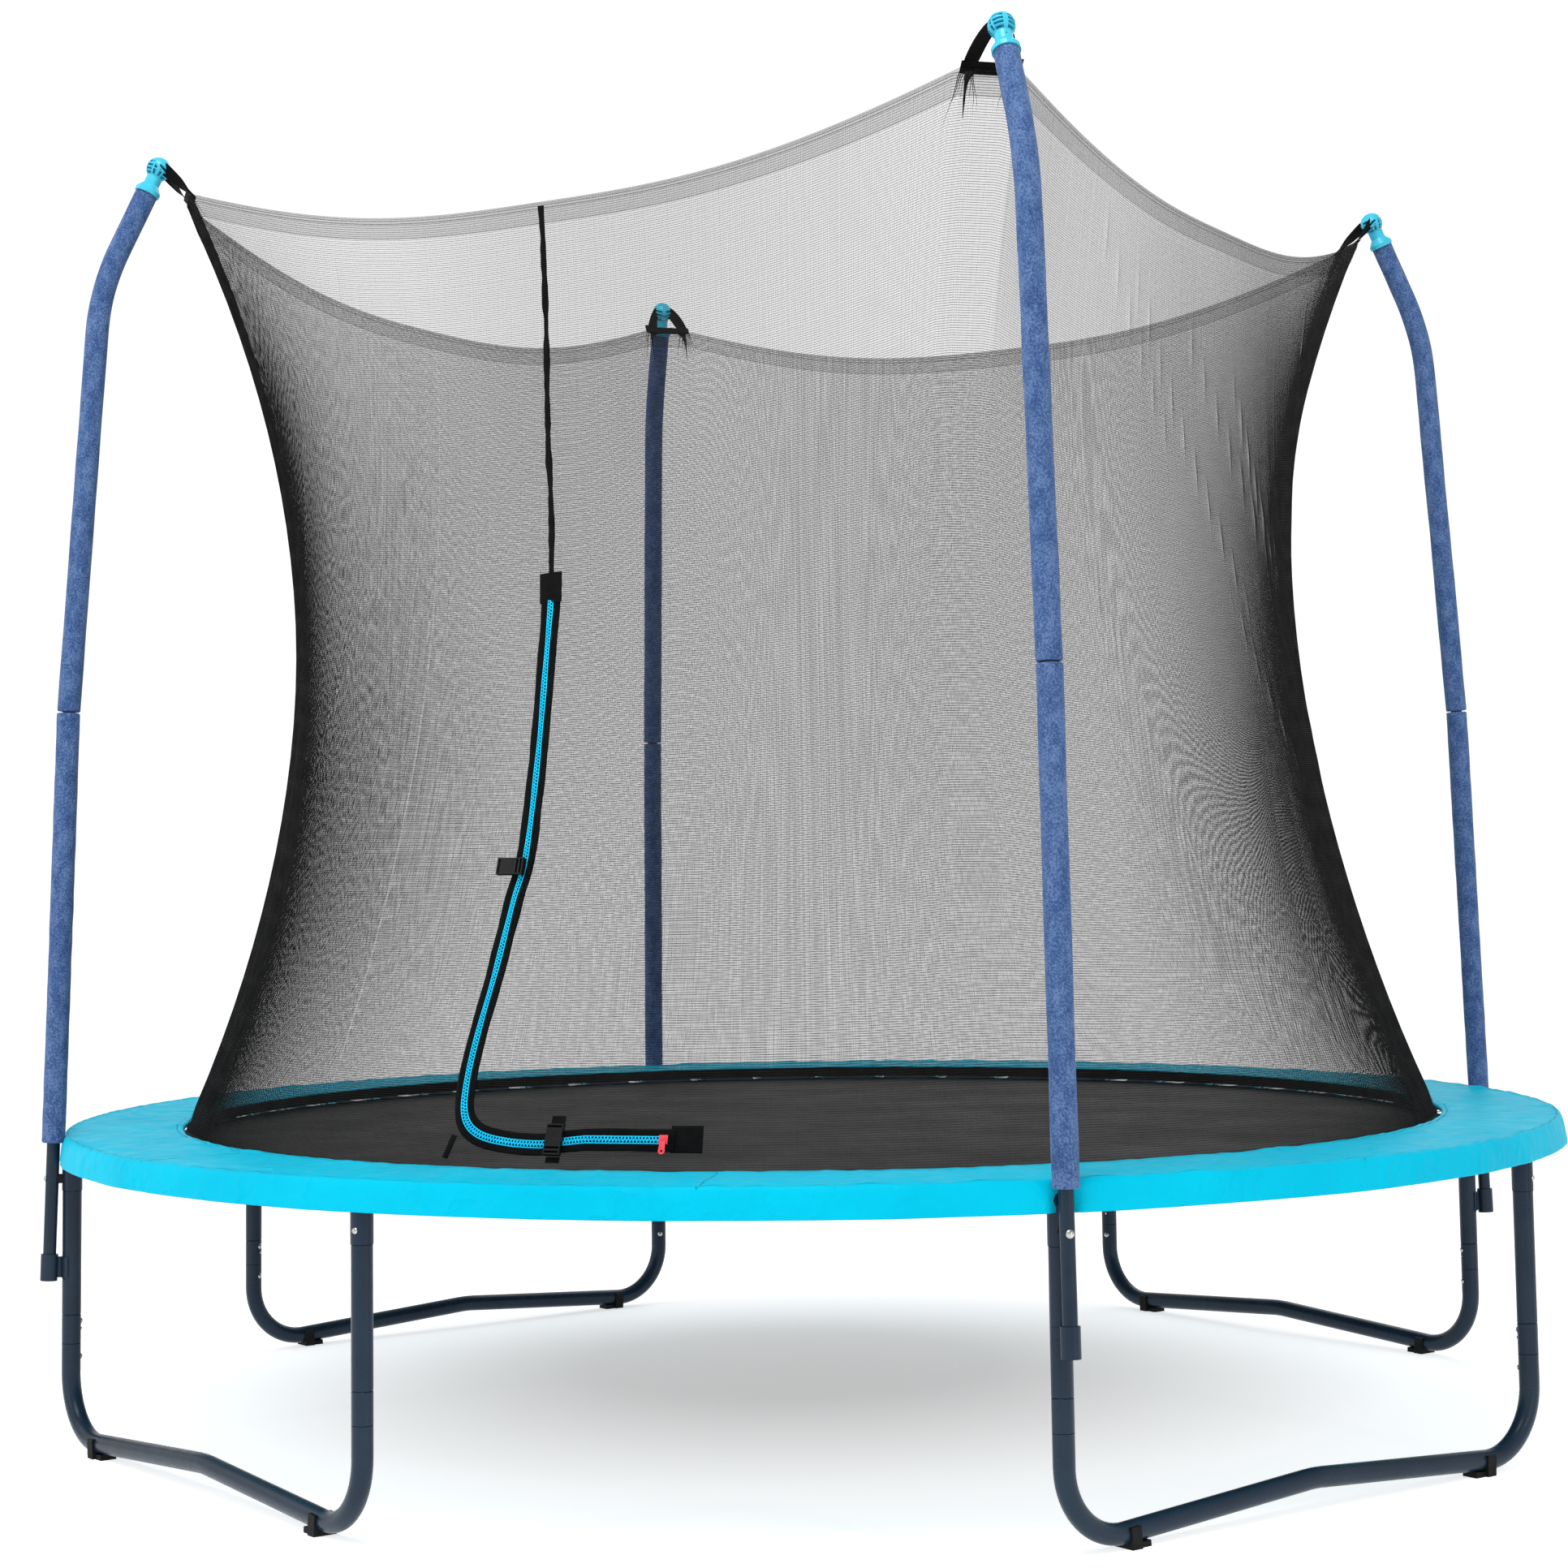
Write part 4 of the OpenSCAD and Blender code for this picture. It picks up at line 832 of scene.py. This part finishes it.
# ---- Foam sleeves ----
def pole_line():
    """The pole's upper axis from its joint to its end, as (radius, height) points."""
    j, v, c = (np.array(x) for x in (POLE_JOINT, POLE_BEND, CAP_CENTRE))
    d1, d2 = (v - j) / np.linalg.norm(v - j), (c - v) / np.linalg.norm(c - v)
    turn = math.acos(float(d1 @ d2))
    tangent = POLE_BEND_RADIUS * math.tan(turn / 2)
    a, b = v - d1 * tangent, v + d2 * tangent
    inward = np.array([-d1[1], d1[0]])
    if inward @ d2 < 0:
        inward = -inward
    centre = a + inward * POLE_BEND_RADIUS
    angles = np.linspace(0, turn, 14)
    arc = [centre - inward * POLE_BEND_RADIUS * math.cos(q) + d1 * POLE_BEND_RADIUS * math.sin(q)
           for q in angles]
    end = c - d2 * (CAP_FLANGE - 0.0005)
    return np.vstack([[j], arc, [end]])


def foam_sleeve(build, line, az, seed, trim=(0.0006, 0.0)):
    """Tube of foam along a line of (radius, height) points, with soft ends and a slightly uneven skin."""
    line = resample(np.asarray(line, float), 0.008)
    length = along_of(line)[-1]
    sides = 40
    wob = ripples(10, (0.05, 0.35), seed)
    r_end = 0.0035
    stations = [(trim[0], FOAM_BORE_R), (trim[0], FOAM_R - r_end)]
    stations += [(trim[0] + r_end * (1 - math.cos(q)), FOAM_R - r_end * (1 - math.sin(q)))
                 for q in np.linspace(0.25, 1.571, 4)]
    stations += [(s, FOAM_R) for s in np.arange(0.010, length - 0.010, 0.008)]
    top = length - trim[1]
    stations += [(top - r_end * (1 - math.cos(q)), FOAM_R - r_end * (1 - math.sin(q)))
                 for q in np.linspace(1.571, 0.25, 4)]
    stations += [(top, FOAM_R - r_end), (top, FOAM_BORE_R)]
    stations += [(s, FOAM_BORE_R) for s in np.linspace(top, trim[0], 14)[1:-1]]
    along = along_of(line)
    s = np.array([x[0] for x in stations])
    radius = np.array([x[1] for x in stations])
    centre = np.stack([np.interp(s, along, line[:, k]) for k in range(2)], 1)
    d = unit(np.gradient(line, axis=0))
    d = np.stack([np.interp(s, along, d[:, k]) for k in range(2)], 1)
    radial, around, up = axes_at(az)
    c3 = centre[:, :1] * radial + centre[:, 1:] * up
    normal = d[:, 1:] * radial - d[:, :1] * up
    a = np.arange(sides) * TAU / sides
    lump = 0.00035 * wave_noise(s[:, None], a[None] * FOAM_R, wob) * (radius > FOAM_BORE_R * 1.2)[:, None]
    ring = normal[:, None] * np.cos(a)[None, :, None] + around * np.sin(a)[None, :, None]
    build.grid(c3[:, None] + ring * (radius[:, None] + lump)[..., None], wrap_u=True, wrap_v=True)


def foam():
    upper, lower = Build(), Build()
    foot, joint = np.array(POLE_FOOT), np.array(POLE_JOINT)
    start = foot + (joint - foot) * (FOAM_FOOT_Z - foot[1]) / (joint[1] - foot[1])
    for i in range(4):
        foam_sleeve(lower, [start, joint], pole_az(i), 30 + i, (0.0, 0.0012))
        foam_sleeve(upper, pole_line(), pole_az(i), 40 + i, (0.0012, 0.0))
    for build, name in ((lower, "foam_lower"), (upper, "foam_upper")):
        piece = build.piece(name + "_sleeves", FOAM, body="root", slot="sleeve_foam", replaces=[name])


# ---- Mat, springs and pad ----
def mat_piece():
    b = Build()
    rings = np.concatenate([np.linspace(0.02, 1.2, 60), np.linspace(1.215, MAT_R, 8)])
    a = np.arange(256) * TAU / 256
    sag = ripples(8, (0.25, 0.9), 51)
    r, aa = np.meshgrid(rings, a, indexing="ij")
    lift = 0.0012 * wave_noise(r * np.cos(aa), r * np.sin(aa), sag) * np.clip((MAT_R - r) / 0.25, 0, 1)
    top = polar(r, aa, MAT_Z + MAT_T / 2 + lift)
    low = polar(r, aa, MAT_Z - MAT_T / 2 + lift)
    b.grid(top, wrap_v=True, flip=False)
    b.grid(low, wrap_v=True, flip=True)
    b.grid(np.stack([top[-1], low[-1]], 0), wrap_v=True)
    b.fan(top[0].mean(0), top[0], flip=False)
    b.fan(low[0].mean(0), low[0], flip=True)
    mat = b.piece("jump_mat", MAT, body="mat", slot="mat_weave", replaces=["mat"])
    band = Build()
    a = np.arange(512) * TAU / 512
    half, inner, wide = 0.0022, 0.0007, 0.028
    upper = [(-wide, inner), (-wide, half * 0.8), (-wide + 0.001, half), (-0.014, half * 0.94),
             (0.0005, half), (0.0014, half * 0.6)]
    section = upper + [(x, -z) for x, z in upper[::-1]]
    pts = np.stack([polar(MAT_R + x, a, MAT_Z + z) for x, z in section], 1)
    uv = uv_grid(a * MAT_R, np.arange(len(section)) * 0.004)
    band.grid(pts, wrap_u=True, uv=uv)
    count = 1500
    a = (np.arange(count) + 0.5) * TAU / count
    for radius in (MAT_R - 0.022, MAT_R - 0.006):
        for sign in (1, -1):
            stitch_row(band, polar(radius, a, MAT_Z + sign * half * 0.98), a, 0.0040)
    band = band.piece("mat_edge_band", WEB, body="mat", slot="webbing", replaces=["mat_binding"])


def stitch_row(build, centres, az, length):
    """Short raised threads, each turned along its azimuth's tangent."""
    t = np.stack([-np.sin(az), np.cos(az), np.zeros_like(az)], 1) * length / 2
    r = np.stack([np.cos(az), np.sin(az), np.zeros_like(az)], 1) * 0.00045
    up = np.array([0, 0, 0.0005])
    rings = []
    for k, high in ((-1, 0.1), (-0.5, 0.8), (0.5, 0.8), (1, 0.1)):
        c = centres + t * k
        rings.append(np.stack([c - r - up * 0.2, c + r - up * 0.2, c + r * 0.6 + up * high,
                               c - r * 0.6 + up * high], 1))
    build.copies(np.stack(rings, 1), quads(4, 4, wrap_v=True))


def spring_line():
    """One spring's wire along +X from the V-ring to the frame: hook, coil, hook."""
    wire = 0.00155
    coil_r = SPRING_R - wire
    body_from, body_to = SPRING_FROM + 0.024, SPRING_TO - 0.024
    turns = 22
    pts = []
    for q in np.linspace(-0.5 * math.pi, 0.9 * math.pi, 9):
        pts.append((SPRING_FROM - 0.002 - 0.0055 * math.cos(q), 0.0, 0.0055 * math.sin(q)))
    pts = pts[::-1]
    pts.append((SPRING_FROM + 0.010, 0, -0.003))
    steps = turns * 11
    for k in range(steps + 1):
        q = k / steps
        grow = min(1.0, 6 * q + 0.25, 6 * (1 - q) + 0.25)
        a = TAU * turns * q
        pts.append((body_from + (body_to - body_from) * q, coil_r * grow * math.sin(a),
                    coil_r * grow * math.cos(a)))
    pts.append((SPRING_TO - 0.012, 0, 0.003))
    pts.append((SPRING_TO - 0.004, 0, 0.0035))
    pts.append((SPRING_TO - 0.0005, 0, 0.001))
    pts.append((SPRING_TO - 0.001, 0, -0.003))
    return np.array(pts), wire


def springs():
    line, wire = spring_line()
    per_set = 4
    for group in range(SPRINGS // per_set):
        b = Build()
        mean = (group * per_set + per_set / 2) * TAU / SPRINGS
        for k in range(per_set):
            a = (group * per_set + k + 0.5) * TAU / SPRINGS
            tube(b, line @ turn_z(a).T + (0, 0, MAT_Z), wire, 6)
        name = f"spring_set_{group + 1:02d}"
        piece = b.piece(name, ZINC, slot="zinc", replaces=["springs"] if group == 0 else ())
        out = np.array([math.cos(mean), math.sin(mean), 0])
        near = out * SPRING_FROM
        far = out * (SPRING_TO * math.cos(1.5 * TAU / SPRINGS) - 0.004)
        near[2] = far[2] = MAT_Z
        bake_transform(piece)


def v_rings():
    rings, tabs = Build(), Build()
    corners = [(0.0035, -0.0175), (0.0035, 0.0175), (0.0325, 0.0032), (0.0345, 0.0), (0.0325, -0.0032)]
    pts = []
    for k in range(len(corners)):
        a, b = np.array(corners[k]), np.array(corners[(k + 1) % len(corners)])
        for q in np.linspace(0.08, 0.92, 5):
            pts.append(a + (b - a) * q)
    pts = np.array(pts)
    loop = np.stack([MAT_R + pts[:, 0], pts[:, 1], np.zeros(len(pts))], 1)
    x = np.array([-0.026, -0.010, 0.0, 0.004, 0.0058, 0.004, 0.0, -0.010, -0.026])
    z = np.array([0.0029, 0.0030, 0.0030, 0.0024, 0.0, -0.0024, -0.0030, -0.0030, -0.0029])
    for k in range(SPRINGS):
        a = (k + 0.5) * TAU / SPRINGS
        turn = turn_z(a)
        tube(rings, loop @ turn.T + (0, 0, MAT_Z), 0.0019, 8, closed=True)
        path = np.stack([MAT_R + x, np.zeros(9), z], 1) @ turn.T + (0, 0, MAT_Z)
        side = np.broadcast_to(turn @ np.array([0, 1.0, 0]), path.shape)
        strip(tabs, path, side, np.cross(unit(np.gradient(path, axis=0)), side), 0.022, 0.0008, across=5)
    rings.piece("v_ring_wires", ZINC, body="mat", slot="zinc", replaces=["v_rings"])
    tabs.piece("v_ring_tabs", WEB, body="mat", slot="webbing")


PAD_SKIRT = (1.510, 0.545)
NOTCH_R = 0.0235
PAD_TOP = [PAD_SKIRT, (1.5085, 0.556), (1.5065, 0.568), (1.5045, 0.580), (1.502, 0.592), (1.4985, 0.6005),
           (1.490, 0.6045), (1.470, 0.6065), (1.44, 0.6075), (1.40, 0.6078), (1.36, 0.6080), (1.32, 0.6080),
           (1.295, 0.6070), (1.279, 0.6045), (1.271, 0.6005), (1.2685, 0.5955), (1.2695, 0.5905),
           (1.275, 0.5885)]
PAD_UNDER = [(1.31, 0.588), (1.36, 0.588), (1.41, 0.588), (1.46, 0.588), (1.488, 0.589), (1.4965, 0.590),
             (1.5005, 0.575), (1.5048, 0.558), (1.5085, 0.5455)]
PANEL_SEAMS = [-112, -67, -22, 23, 68, 113, 158, -157]


def pad_form():
    """The pad before it is stuffed: its section swept round, cut back at the poles, creased at its seams."""
    columns = 900
    a = np.arange(columns) * TAU / columns
    s = resample(np.array(PAD_TOP + PAD_UNDER + PAD_TOP[:1]), 0.0085)[:-1]
    aa, rr = np.meshgrid(a, s[:, 0], indexing="ij")
    zz = np.broadcast_to(s[:, 1], aa.shape).copy()
    arc = aa * 1.38
    broad, crease = ripples(10, (0.15, 0.6), 61), ripples(14, (0.035, 0.10), 62)
    on_top = (zz > 0.600) & (rr < 1.492)
    skirt = np.clip((0.600 - zz) / 0.05, 0, 1) * (rr > 1.495)
    edge_in = np.exp(-((rr - 1.270) / 0.016) ** 2)
    out = skirt * (0.0020 * wave_noise(arc, 0 * zz, broad) + 0.0008 * wave_noise(arc, zz * 0.6, crease))
    out = out + edge_in * 0.0016 * wave_noise(arc, 0 * zz, broad)
    lift = on_top * 0.0008 * wave_noise(arc, rr * 0.4, crease)
    for seam in PANEL_SEAMS:
        d = np.abs((aa - math.radians(seam) + math.pi) % TAU - math.pi) * 1.38
        lift = lift - on_top * 0.0022 * np.exp(-((d / 0.006) ** 2))
    for i in range(4):
        d = (aa - pole_az(i) + math.pi) % TAU - math.pi
        near = np.abs(d) * 1.51
        centre_r = np.interp(zz, [0.53, 0.62], [1.5218, 1.5180])
        gap = NOTCH_R**2 - near**2
        limit = np.where(gap > 0, centre_r - np.sqrt(np.maximum(gap, 0)), 9.0)
        out = np.where(rr > limit, 0, out)
        rr = np.where(rr > limit, limit - 0.0004, rr)
        lift = lift - on_top * 0.0025 * np.exp(-(near / 0.05) ** 2) * np.clip((rr - 1.40) / 0.1, 0, 1)
    free = on_top & (rr < 1.488) & (rr > 1.276)
    return polar(rr + out, aa, zz + lift), free


# Folds in the pad's top, each from one point of (angle, radius) to another, with its depth
PAD_FOLDS = [((-131, 1.452), (-118, 1.478), 0.0045), ((-119, 1.477), (-103, 1.487), 0.0040),
             ((-108, 1.462), (-90, 1.440), 0.0030), ((-96, 1.480), (-80, 1.455), 0.0026),
             ((-127, 1.350), (-118, 1.430), 0.0022), ((-141, 1.330), (-134, 1.400), 0.0024),
             ((-70, 1.420), (-58, 1.462), 0.0022), ((-49, 1.380), (-38, 1.450), 0.0026),
             ((-33, 1.345), (-22, 1.420), 0.0020), ((-12, 1.440), (3, 1.400), 0.0022),
             ((12, 1.350), (22, 1.440), 0.0022), ((36, 1.450), (50, 1.400), 0.0024),
             ((62, 1.330), (74, 1.410), 0.0020), ((88, 1.450), (104, 1.420), 0.0024),
             ((118, 1.360), (131, 1.450), 0.0026), ((146, 1.420), (160, 1.370), 0.0020),
             ((172, 1.340), (186, 1.440), 0.0024), ((202, 1.390), (213, 1.452), 0.0024)]


def fold(obj):
    """Presses the folds into the pad's top, each a groove with a soft ridge on its inner side."""
    mesh = obj.data
    co = np.empty(len(mesh.vertices) * 3, np.float32)
    mesh.vertices.foreach_get("co", co)
    co = co.reshape(-1, 3)
    r, az = np.hypot(co[:, 0], co[:, 1]), np.degrees(np.arctan2(co[:, 1], co[:, 0]))
    top = np.clip((co[:, 2] - 0.597) / 0.006, 0, 1)
    arc = math.radians(1) * 1.42
    for (a0, r0), (a1, r1), depth in PAD_FOLDS:
        x, y = ((az - a0 + 180) % 360 - 180) * arc, r - r0
        along, off = beside(x, y, (a1 - a0) * arc, r1 - r0)
        off = off + 0.006 * np.sin(along * 5)
        fade = np.clip(along / 0.25, 0, 1) * np.clip((1 - along) / 0.3, 0, 1) * top
        ridge = 0.7 * np.exp(-((off - 0.013) / 0.010) ** 2)
        co[:, 2] += depth * fade * (ridge - np.exp(-((off / 0.006) ** 2)))
    mesh.vertices.foreach_set("co", co.ravel())
    mesh.update()


def stuff(obj, free, pressure, cap):
    """Swells a cover by cloth simulation, with its seams held and no point moved further than cap."""
    mesh = obj.data
    start = np.empty(len(mesh.vertices) * 3, np.float32)
    mesh.vertices.foreach_get("co", start)
    held = obj.vertex_groups.new(name="held")
    held.add(np.flatnonzero(~free).tolist(), 1.0, "REPLACE")
    cloth = obj.modifiers.new("cloth", "CLOTH")
    settings = cloth.settings
    settings.quality = 5
    settings.mass = 0.12
    settings.tension_stiffness = settings.compression_stiffness = 25
    settings.shear_stiffness = 8
    settings.bending_stiffness = 0.25
    settings.vertex_group_mass = held.name
    settings.shrink_min = -0.022
    settings.use_pressure = True
    settings.uniform_pressure_force = pressure
    settings.effector_weights.gravity = 0
    scene = bpy.context.scene
    for step in range(1, 19):
        scene.frame_set(step)
    swollen = obj.evaluated_get(bpy.context.evaluated_depsgraph_get()).to_mesh()
    end = np.empty_like(start)
    swollen.vertices.foreach_get("co", end)
    obj.modifiers.remove(cloth)
    obj.vertex_groups.remove(held)
    scene.frame_set(1)
    move = (end - start).reshape(-1, 3)
    size = np.linalg.norm(move, axis=1)[:, None]
    move *= np.minimum(1, cap / np.maximum(size, 1e-9))
    mesh.vertices.foreach_set("co", (start.reshape(-1, 3) + move).ravel())
    mesh.update()


def pad():
    """Vinyl cover over sheet foam: stuffed, puckered along its seams, nicked at the poles."""
    points, free = pad_form()
    b = Build()
    b.grid(points, wrap_u=True, wrap_v=True, flip=True)
    cover = b.piece("pad_cover_vinyl", VINYL, body="root", slot="pad_vinyl",
                    replaces=["pad_cover", "pad_foam"])
    stuff(cover, free.ravel(), 3.0, 0.007)
    fold(cover)
    smooth = cover.modifiers.new("smooth", "SUBSURF")
    smooth.levels = smooth.render_levels = 1


# ---- Straps at the net's corners ----
def strap_frame(i):
    az = pole_az(i)
    lean = math.atan(50 / 52)
    radial, around, up = axes_at(az)
    z = radial * math.sin(lean) + up * math.cos(lean)
    x = radial * math.cos(lean) - up * math.sin(lean)
    return radial * 1.2448 + up * 2.436, x, around, z


# A strap leg's line, along and above the bar: up past its middle and in under the cap
LEG_PATH = [(0.0385, -0.011), (0.0378, 0.002), (0.0350, 0.0155), (0.0305, 0.034), (0.0250, 0.052),
            (0.0180, 0.068), (0.0105, 0.0755), (0.004, 0.078)]


def strap_leg(build, sign, origin, x, y, z):
    """One leg of the loop: flat against the net at its foot, turned on edge where it enters the cap."""
    path = smooth_curve(LEG_PATH)
    u, v = path[:, :1] * sign, path[:, 1:]
    p = origin + y * u + z * v - x * 0.0017
    t = unit(np.gradient(p, axis=0))
    flat = np.cross(t, x)
    turn = -sign * np.interp(path[:, 1], [0.006, 0.030, 0.066], [0.0, 0.55, 0.95])[:, None]
    side = flat * np.cos(turn) + x * np.sin(turn)
    strip(build, p, side, np.cross(t, side), 0.0240, 0.0016, across=7)


def dart(build, az, top, sign):
    """Net gathered under one end of the strap, as a pleat that runs out to a point."""
    rows = np.linspace(0, 1, 22)
    t = np.linspace(-1, 1, 9)
    half = (0.0085 * np.exp(-rows * 0.070 / 0.009) + 0.0022 * (1 - rows) + 0.0004)[:, None]
    u = sign * (0.0455 - 0.003 * rows[:, None] - half * (1 + t[None]))
    h = top - rows[:, None] * 0.070 / NET_LENGTH + 0 * u
    fold = 0.0020 + 0.0016 * np.sin(t * 7.5)[None] * (1 - rows[:, None]) + 0 * u
    outer, _ = net_points(az + np.degrees(u / NET_CORNER_R), h, fold)
    inner, _ = net_points(az + np.degrees(u / NET_CORNER_R), h, fold - 0.0010)
    loop = np.concatenate([outer, inner[:, ::-1]], 1)
    build.grid(loop, wrap_v=True)
    for end, flip in ((0, True), (-1, False)):
        build.grid(np.stack([outer[end], inner[end]], 0), flip=flip)


def gather(build, az, sign, k):
    """One fine fold of net that fans out from the strap's end."""
    length = RNG.uniform(0.025, 0.075)
    start = 0.030 + 0.0028 * k + RNG.uniform(-0.001, 0.001)
    spread = (k - 3.2) * 0.0042
    run = np.linspace(0, 1, 9)
    u = sign * (start + spread * run + 0.0012 * np.sin(run * 7 + k))
    h = 1 - 0.006 / NET_LENGTH - run * length / NET_LENGTH
    half = np.degrees((0.0008 * (1 - run) + 0.0001) / NET_CORNER_R)
    at = az + np.degrees(u / NET_CORNER_R)
    p0, _ = net_points(at - half, h, 0.0012)
    p1, _ = net_points(at + half, h, 0.0012)
    build.grid(np.stack([p0, p1], 1))


def straps():
    b, gathers = Build(), Build()
    for i in range(4):
        origin, x, y, z = strap_frame(i)
        u = np.linspace(-0.053, 0.053, 22)[:, None]
        bar = origin + y * u - z * 0.001 + x * 0.0010 * np.cos(u * 30)
        strip(b, bar, np.broadcast_to(z, bar.shape), np.broadcast_to(x, bar.shape), 0.0245, 0.0016, across=7)
        for sign in (-1, 1):
            strap_leg(b, sign, origin, x, y, z)
        v = np.linspace(-0.009, 0.021, 8)[:, None]
        tab = origin + y * 0.0485 + z * v + x * (0.0024 + 0.004 * np.clip(v - 0.01, 0, 1))
        strip(b, tab, np.broadcast_to(y, tab.shape), np.broadcast_to(x, tab.shape), 0.011, 0.0013, across=5)
        for sign in (-1, 1):
            dart(gathers, math.degrees(pole_az(i)), 1 - 0.004 / NET_LENGTH, sign)
            for k in range(9):
                gather(gathers, math.degrees(pole_az(i)), sign, k)
    gathers.piece("net_darts", THREAD, body="root", slot="net_mesh")
    b.piece("net_straps_loops", WEB, body="root", slot="webbing", replaces=["net_straps"])


def camera():
    yaw, pitch, roll = math.radians(30.18), math.radians(1.585), math.radians(-0.827)
    forward = Vector((-math.sin(yaw) * math.cos(pitch), math.cos(yaw) * math.cos(pitch), math.sin(pitch)))
    level = Vector((math.cos(yaw), math.sin(yaw), 0))
    above = level.cross(forward)
    right = level * math.cos(roll) + above * math.sin(roll)
    up = above * math.cos(roll) - level * math.sin(roll)
    data = bpy.data.cameras.new("camera")
    data.sensor_width = 36
    data.lens = 68.69
    data.clip_end = 100
    cam = bpy.data.objects.new("camera", data)
    bpy.context.scene.collection.objects.link(cam)
    rotation = Matrix((right, up, -forward)).transposed()
    cam.matrix_world = Matrix.Translation((3.074, -5.377, 1.100)) @ rotation.to_4x4()
    bpy.context.scene.camera = cam


SKY = 1.06  # brightness of the surround and of the far floor, just past white
PAINTED_SHADOW_CENTRE = (-0.28, 0.38, 0)  # where the shadow painted into the floor's glow is centred: the glow is dimmest around it


# Name, place, what it points at, size across, power in watts; the strips are tall and narrow
LAMPS = [("key", (1.0, -3.6, 7.0), (0, 0, 0.6), 3.0, 330), ("fill", (-5.5, -3.0, 4.5), (0, 0, 0.9), 4.0, 60),
         ("back", (-1.0, 6.0, 5.0), (0, 0, 1.2), 4.0, 60),
         ("strip_left", (-2.6, -5.2, 1.7), (0, 0, 1.0), 0.25, 22),
         ("strip_right", (5.4, -1.8, 1.7), (0, 0, 1.0), 0.25, 22)]


def studio():
    """Pale floor that glows, with a painted shadow where its glow dims around a centre under the trampoline,
    and a bright surround that is brightest near the horizon, with soft lamps above and two tall strips.
    """
    scene = bpy.context.scene
    scene.view_settings.view_transform = "Standard"
    world = bpy.data.worlds.new("studio")
    world.use_nodes = True
    scene.world = world
    tree = world.node_tree
    background = tree.nodes["Background"]
    z = split(tree, coords(tree, "Generated"))[2]
    sky = ramp(tree, z, [(0.0, (1, 1, 1)), (0.36, (1, 1, 1)), (0.60, (0.55,) * 3),
                         (1.0, (0.40,) * 3)])
    tree.links.new(sky, background.inputs["Color"])
    background.inputs["Strength"].default_value = SKY
    m, t, s = new_material("floor_glow_painted_shadow", (0.86,) * 3, 0.75)
    away = node(t, "VectorMath", {0: coords(t)}, operation="LENGTH").outputs["Value"]
    tint(t, s, map_range(t, away, 2.2, 5.0, 0, 1), [(0, (0.76,) * 3), (1, (0, 0, 0))])
    s.inputs["Emission Color"].default_value = (1, 1, 1, 1)
    s.inputs["Specular IOR Level"].default_value = 0
    # painted shadow: the floor's glow is 0.41 near the centre under the trampoline and rises to 0.70 further
    # out; far off it rises again to the surround's brightness
    shade = node(t, "VectorMath", {0: coords(t), 1: PAINTED_SHADOW_CENTRE}, operation="DISTANCE").outputs["Value"]
    near = map_range(t, shade, 0.45, 1.35, 0.41, 0.70)
    far = map_range(t, away, 2.2, 5.0, 0.0, SKY - 0.70)
    t.links.new(math_node(t, "ADD", near, far), s.inputs["Emission Strength"])
    bpy.ops.mesh.primitive_plane_add(size=90, location=(0, 0, 0))
    floor = bpy.context.object
    floor.name = "floor"
    floor.data.materials.append(m)
    for name, place, aim, size, power in LAMPS:
        data = bpy.data.lights.new(name, "AREA")
        data.shape, data.size, data.energy = "DISK", size, power
        lamp = bpy.data.objects.new(name, data)
        scene.collection.objects.link(lamp)
        lamp.location = place
        lamp.rotation_mode = "QUATERNION"
        lamp.rotation_quaternion = (Vector(aim) - Vector(place)).to_track_quat("-Z", "Y")
        if name.startswith("strip"):
            data.shape, data.size_y = "RECTANGLE", 3.2


camera()
studio()
foam()
mat_piece()
springs()
v_rings()
pad()
straps()
net()
zip_and_door()
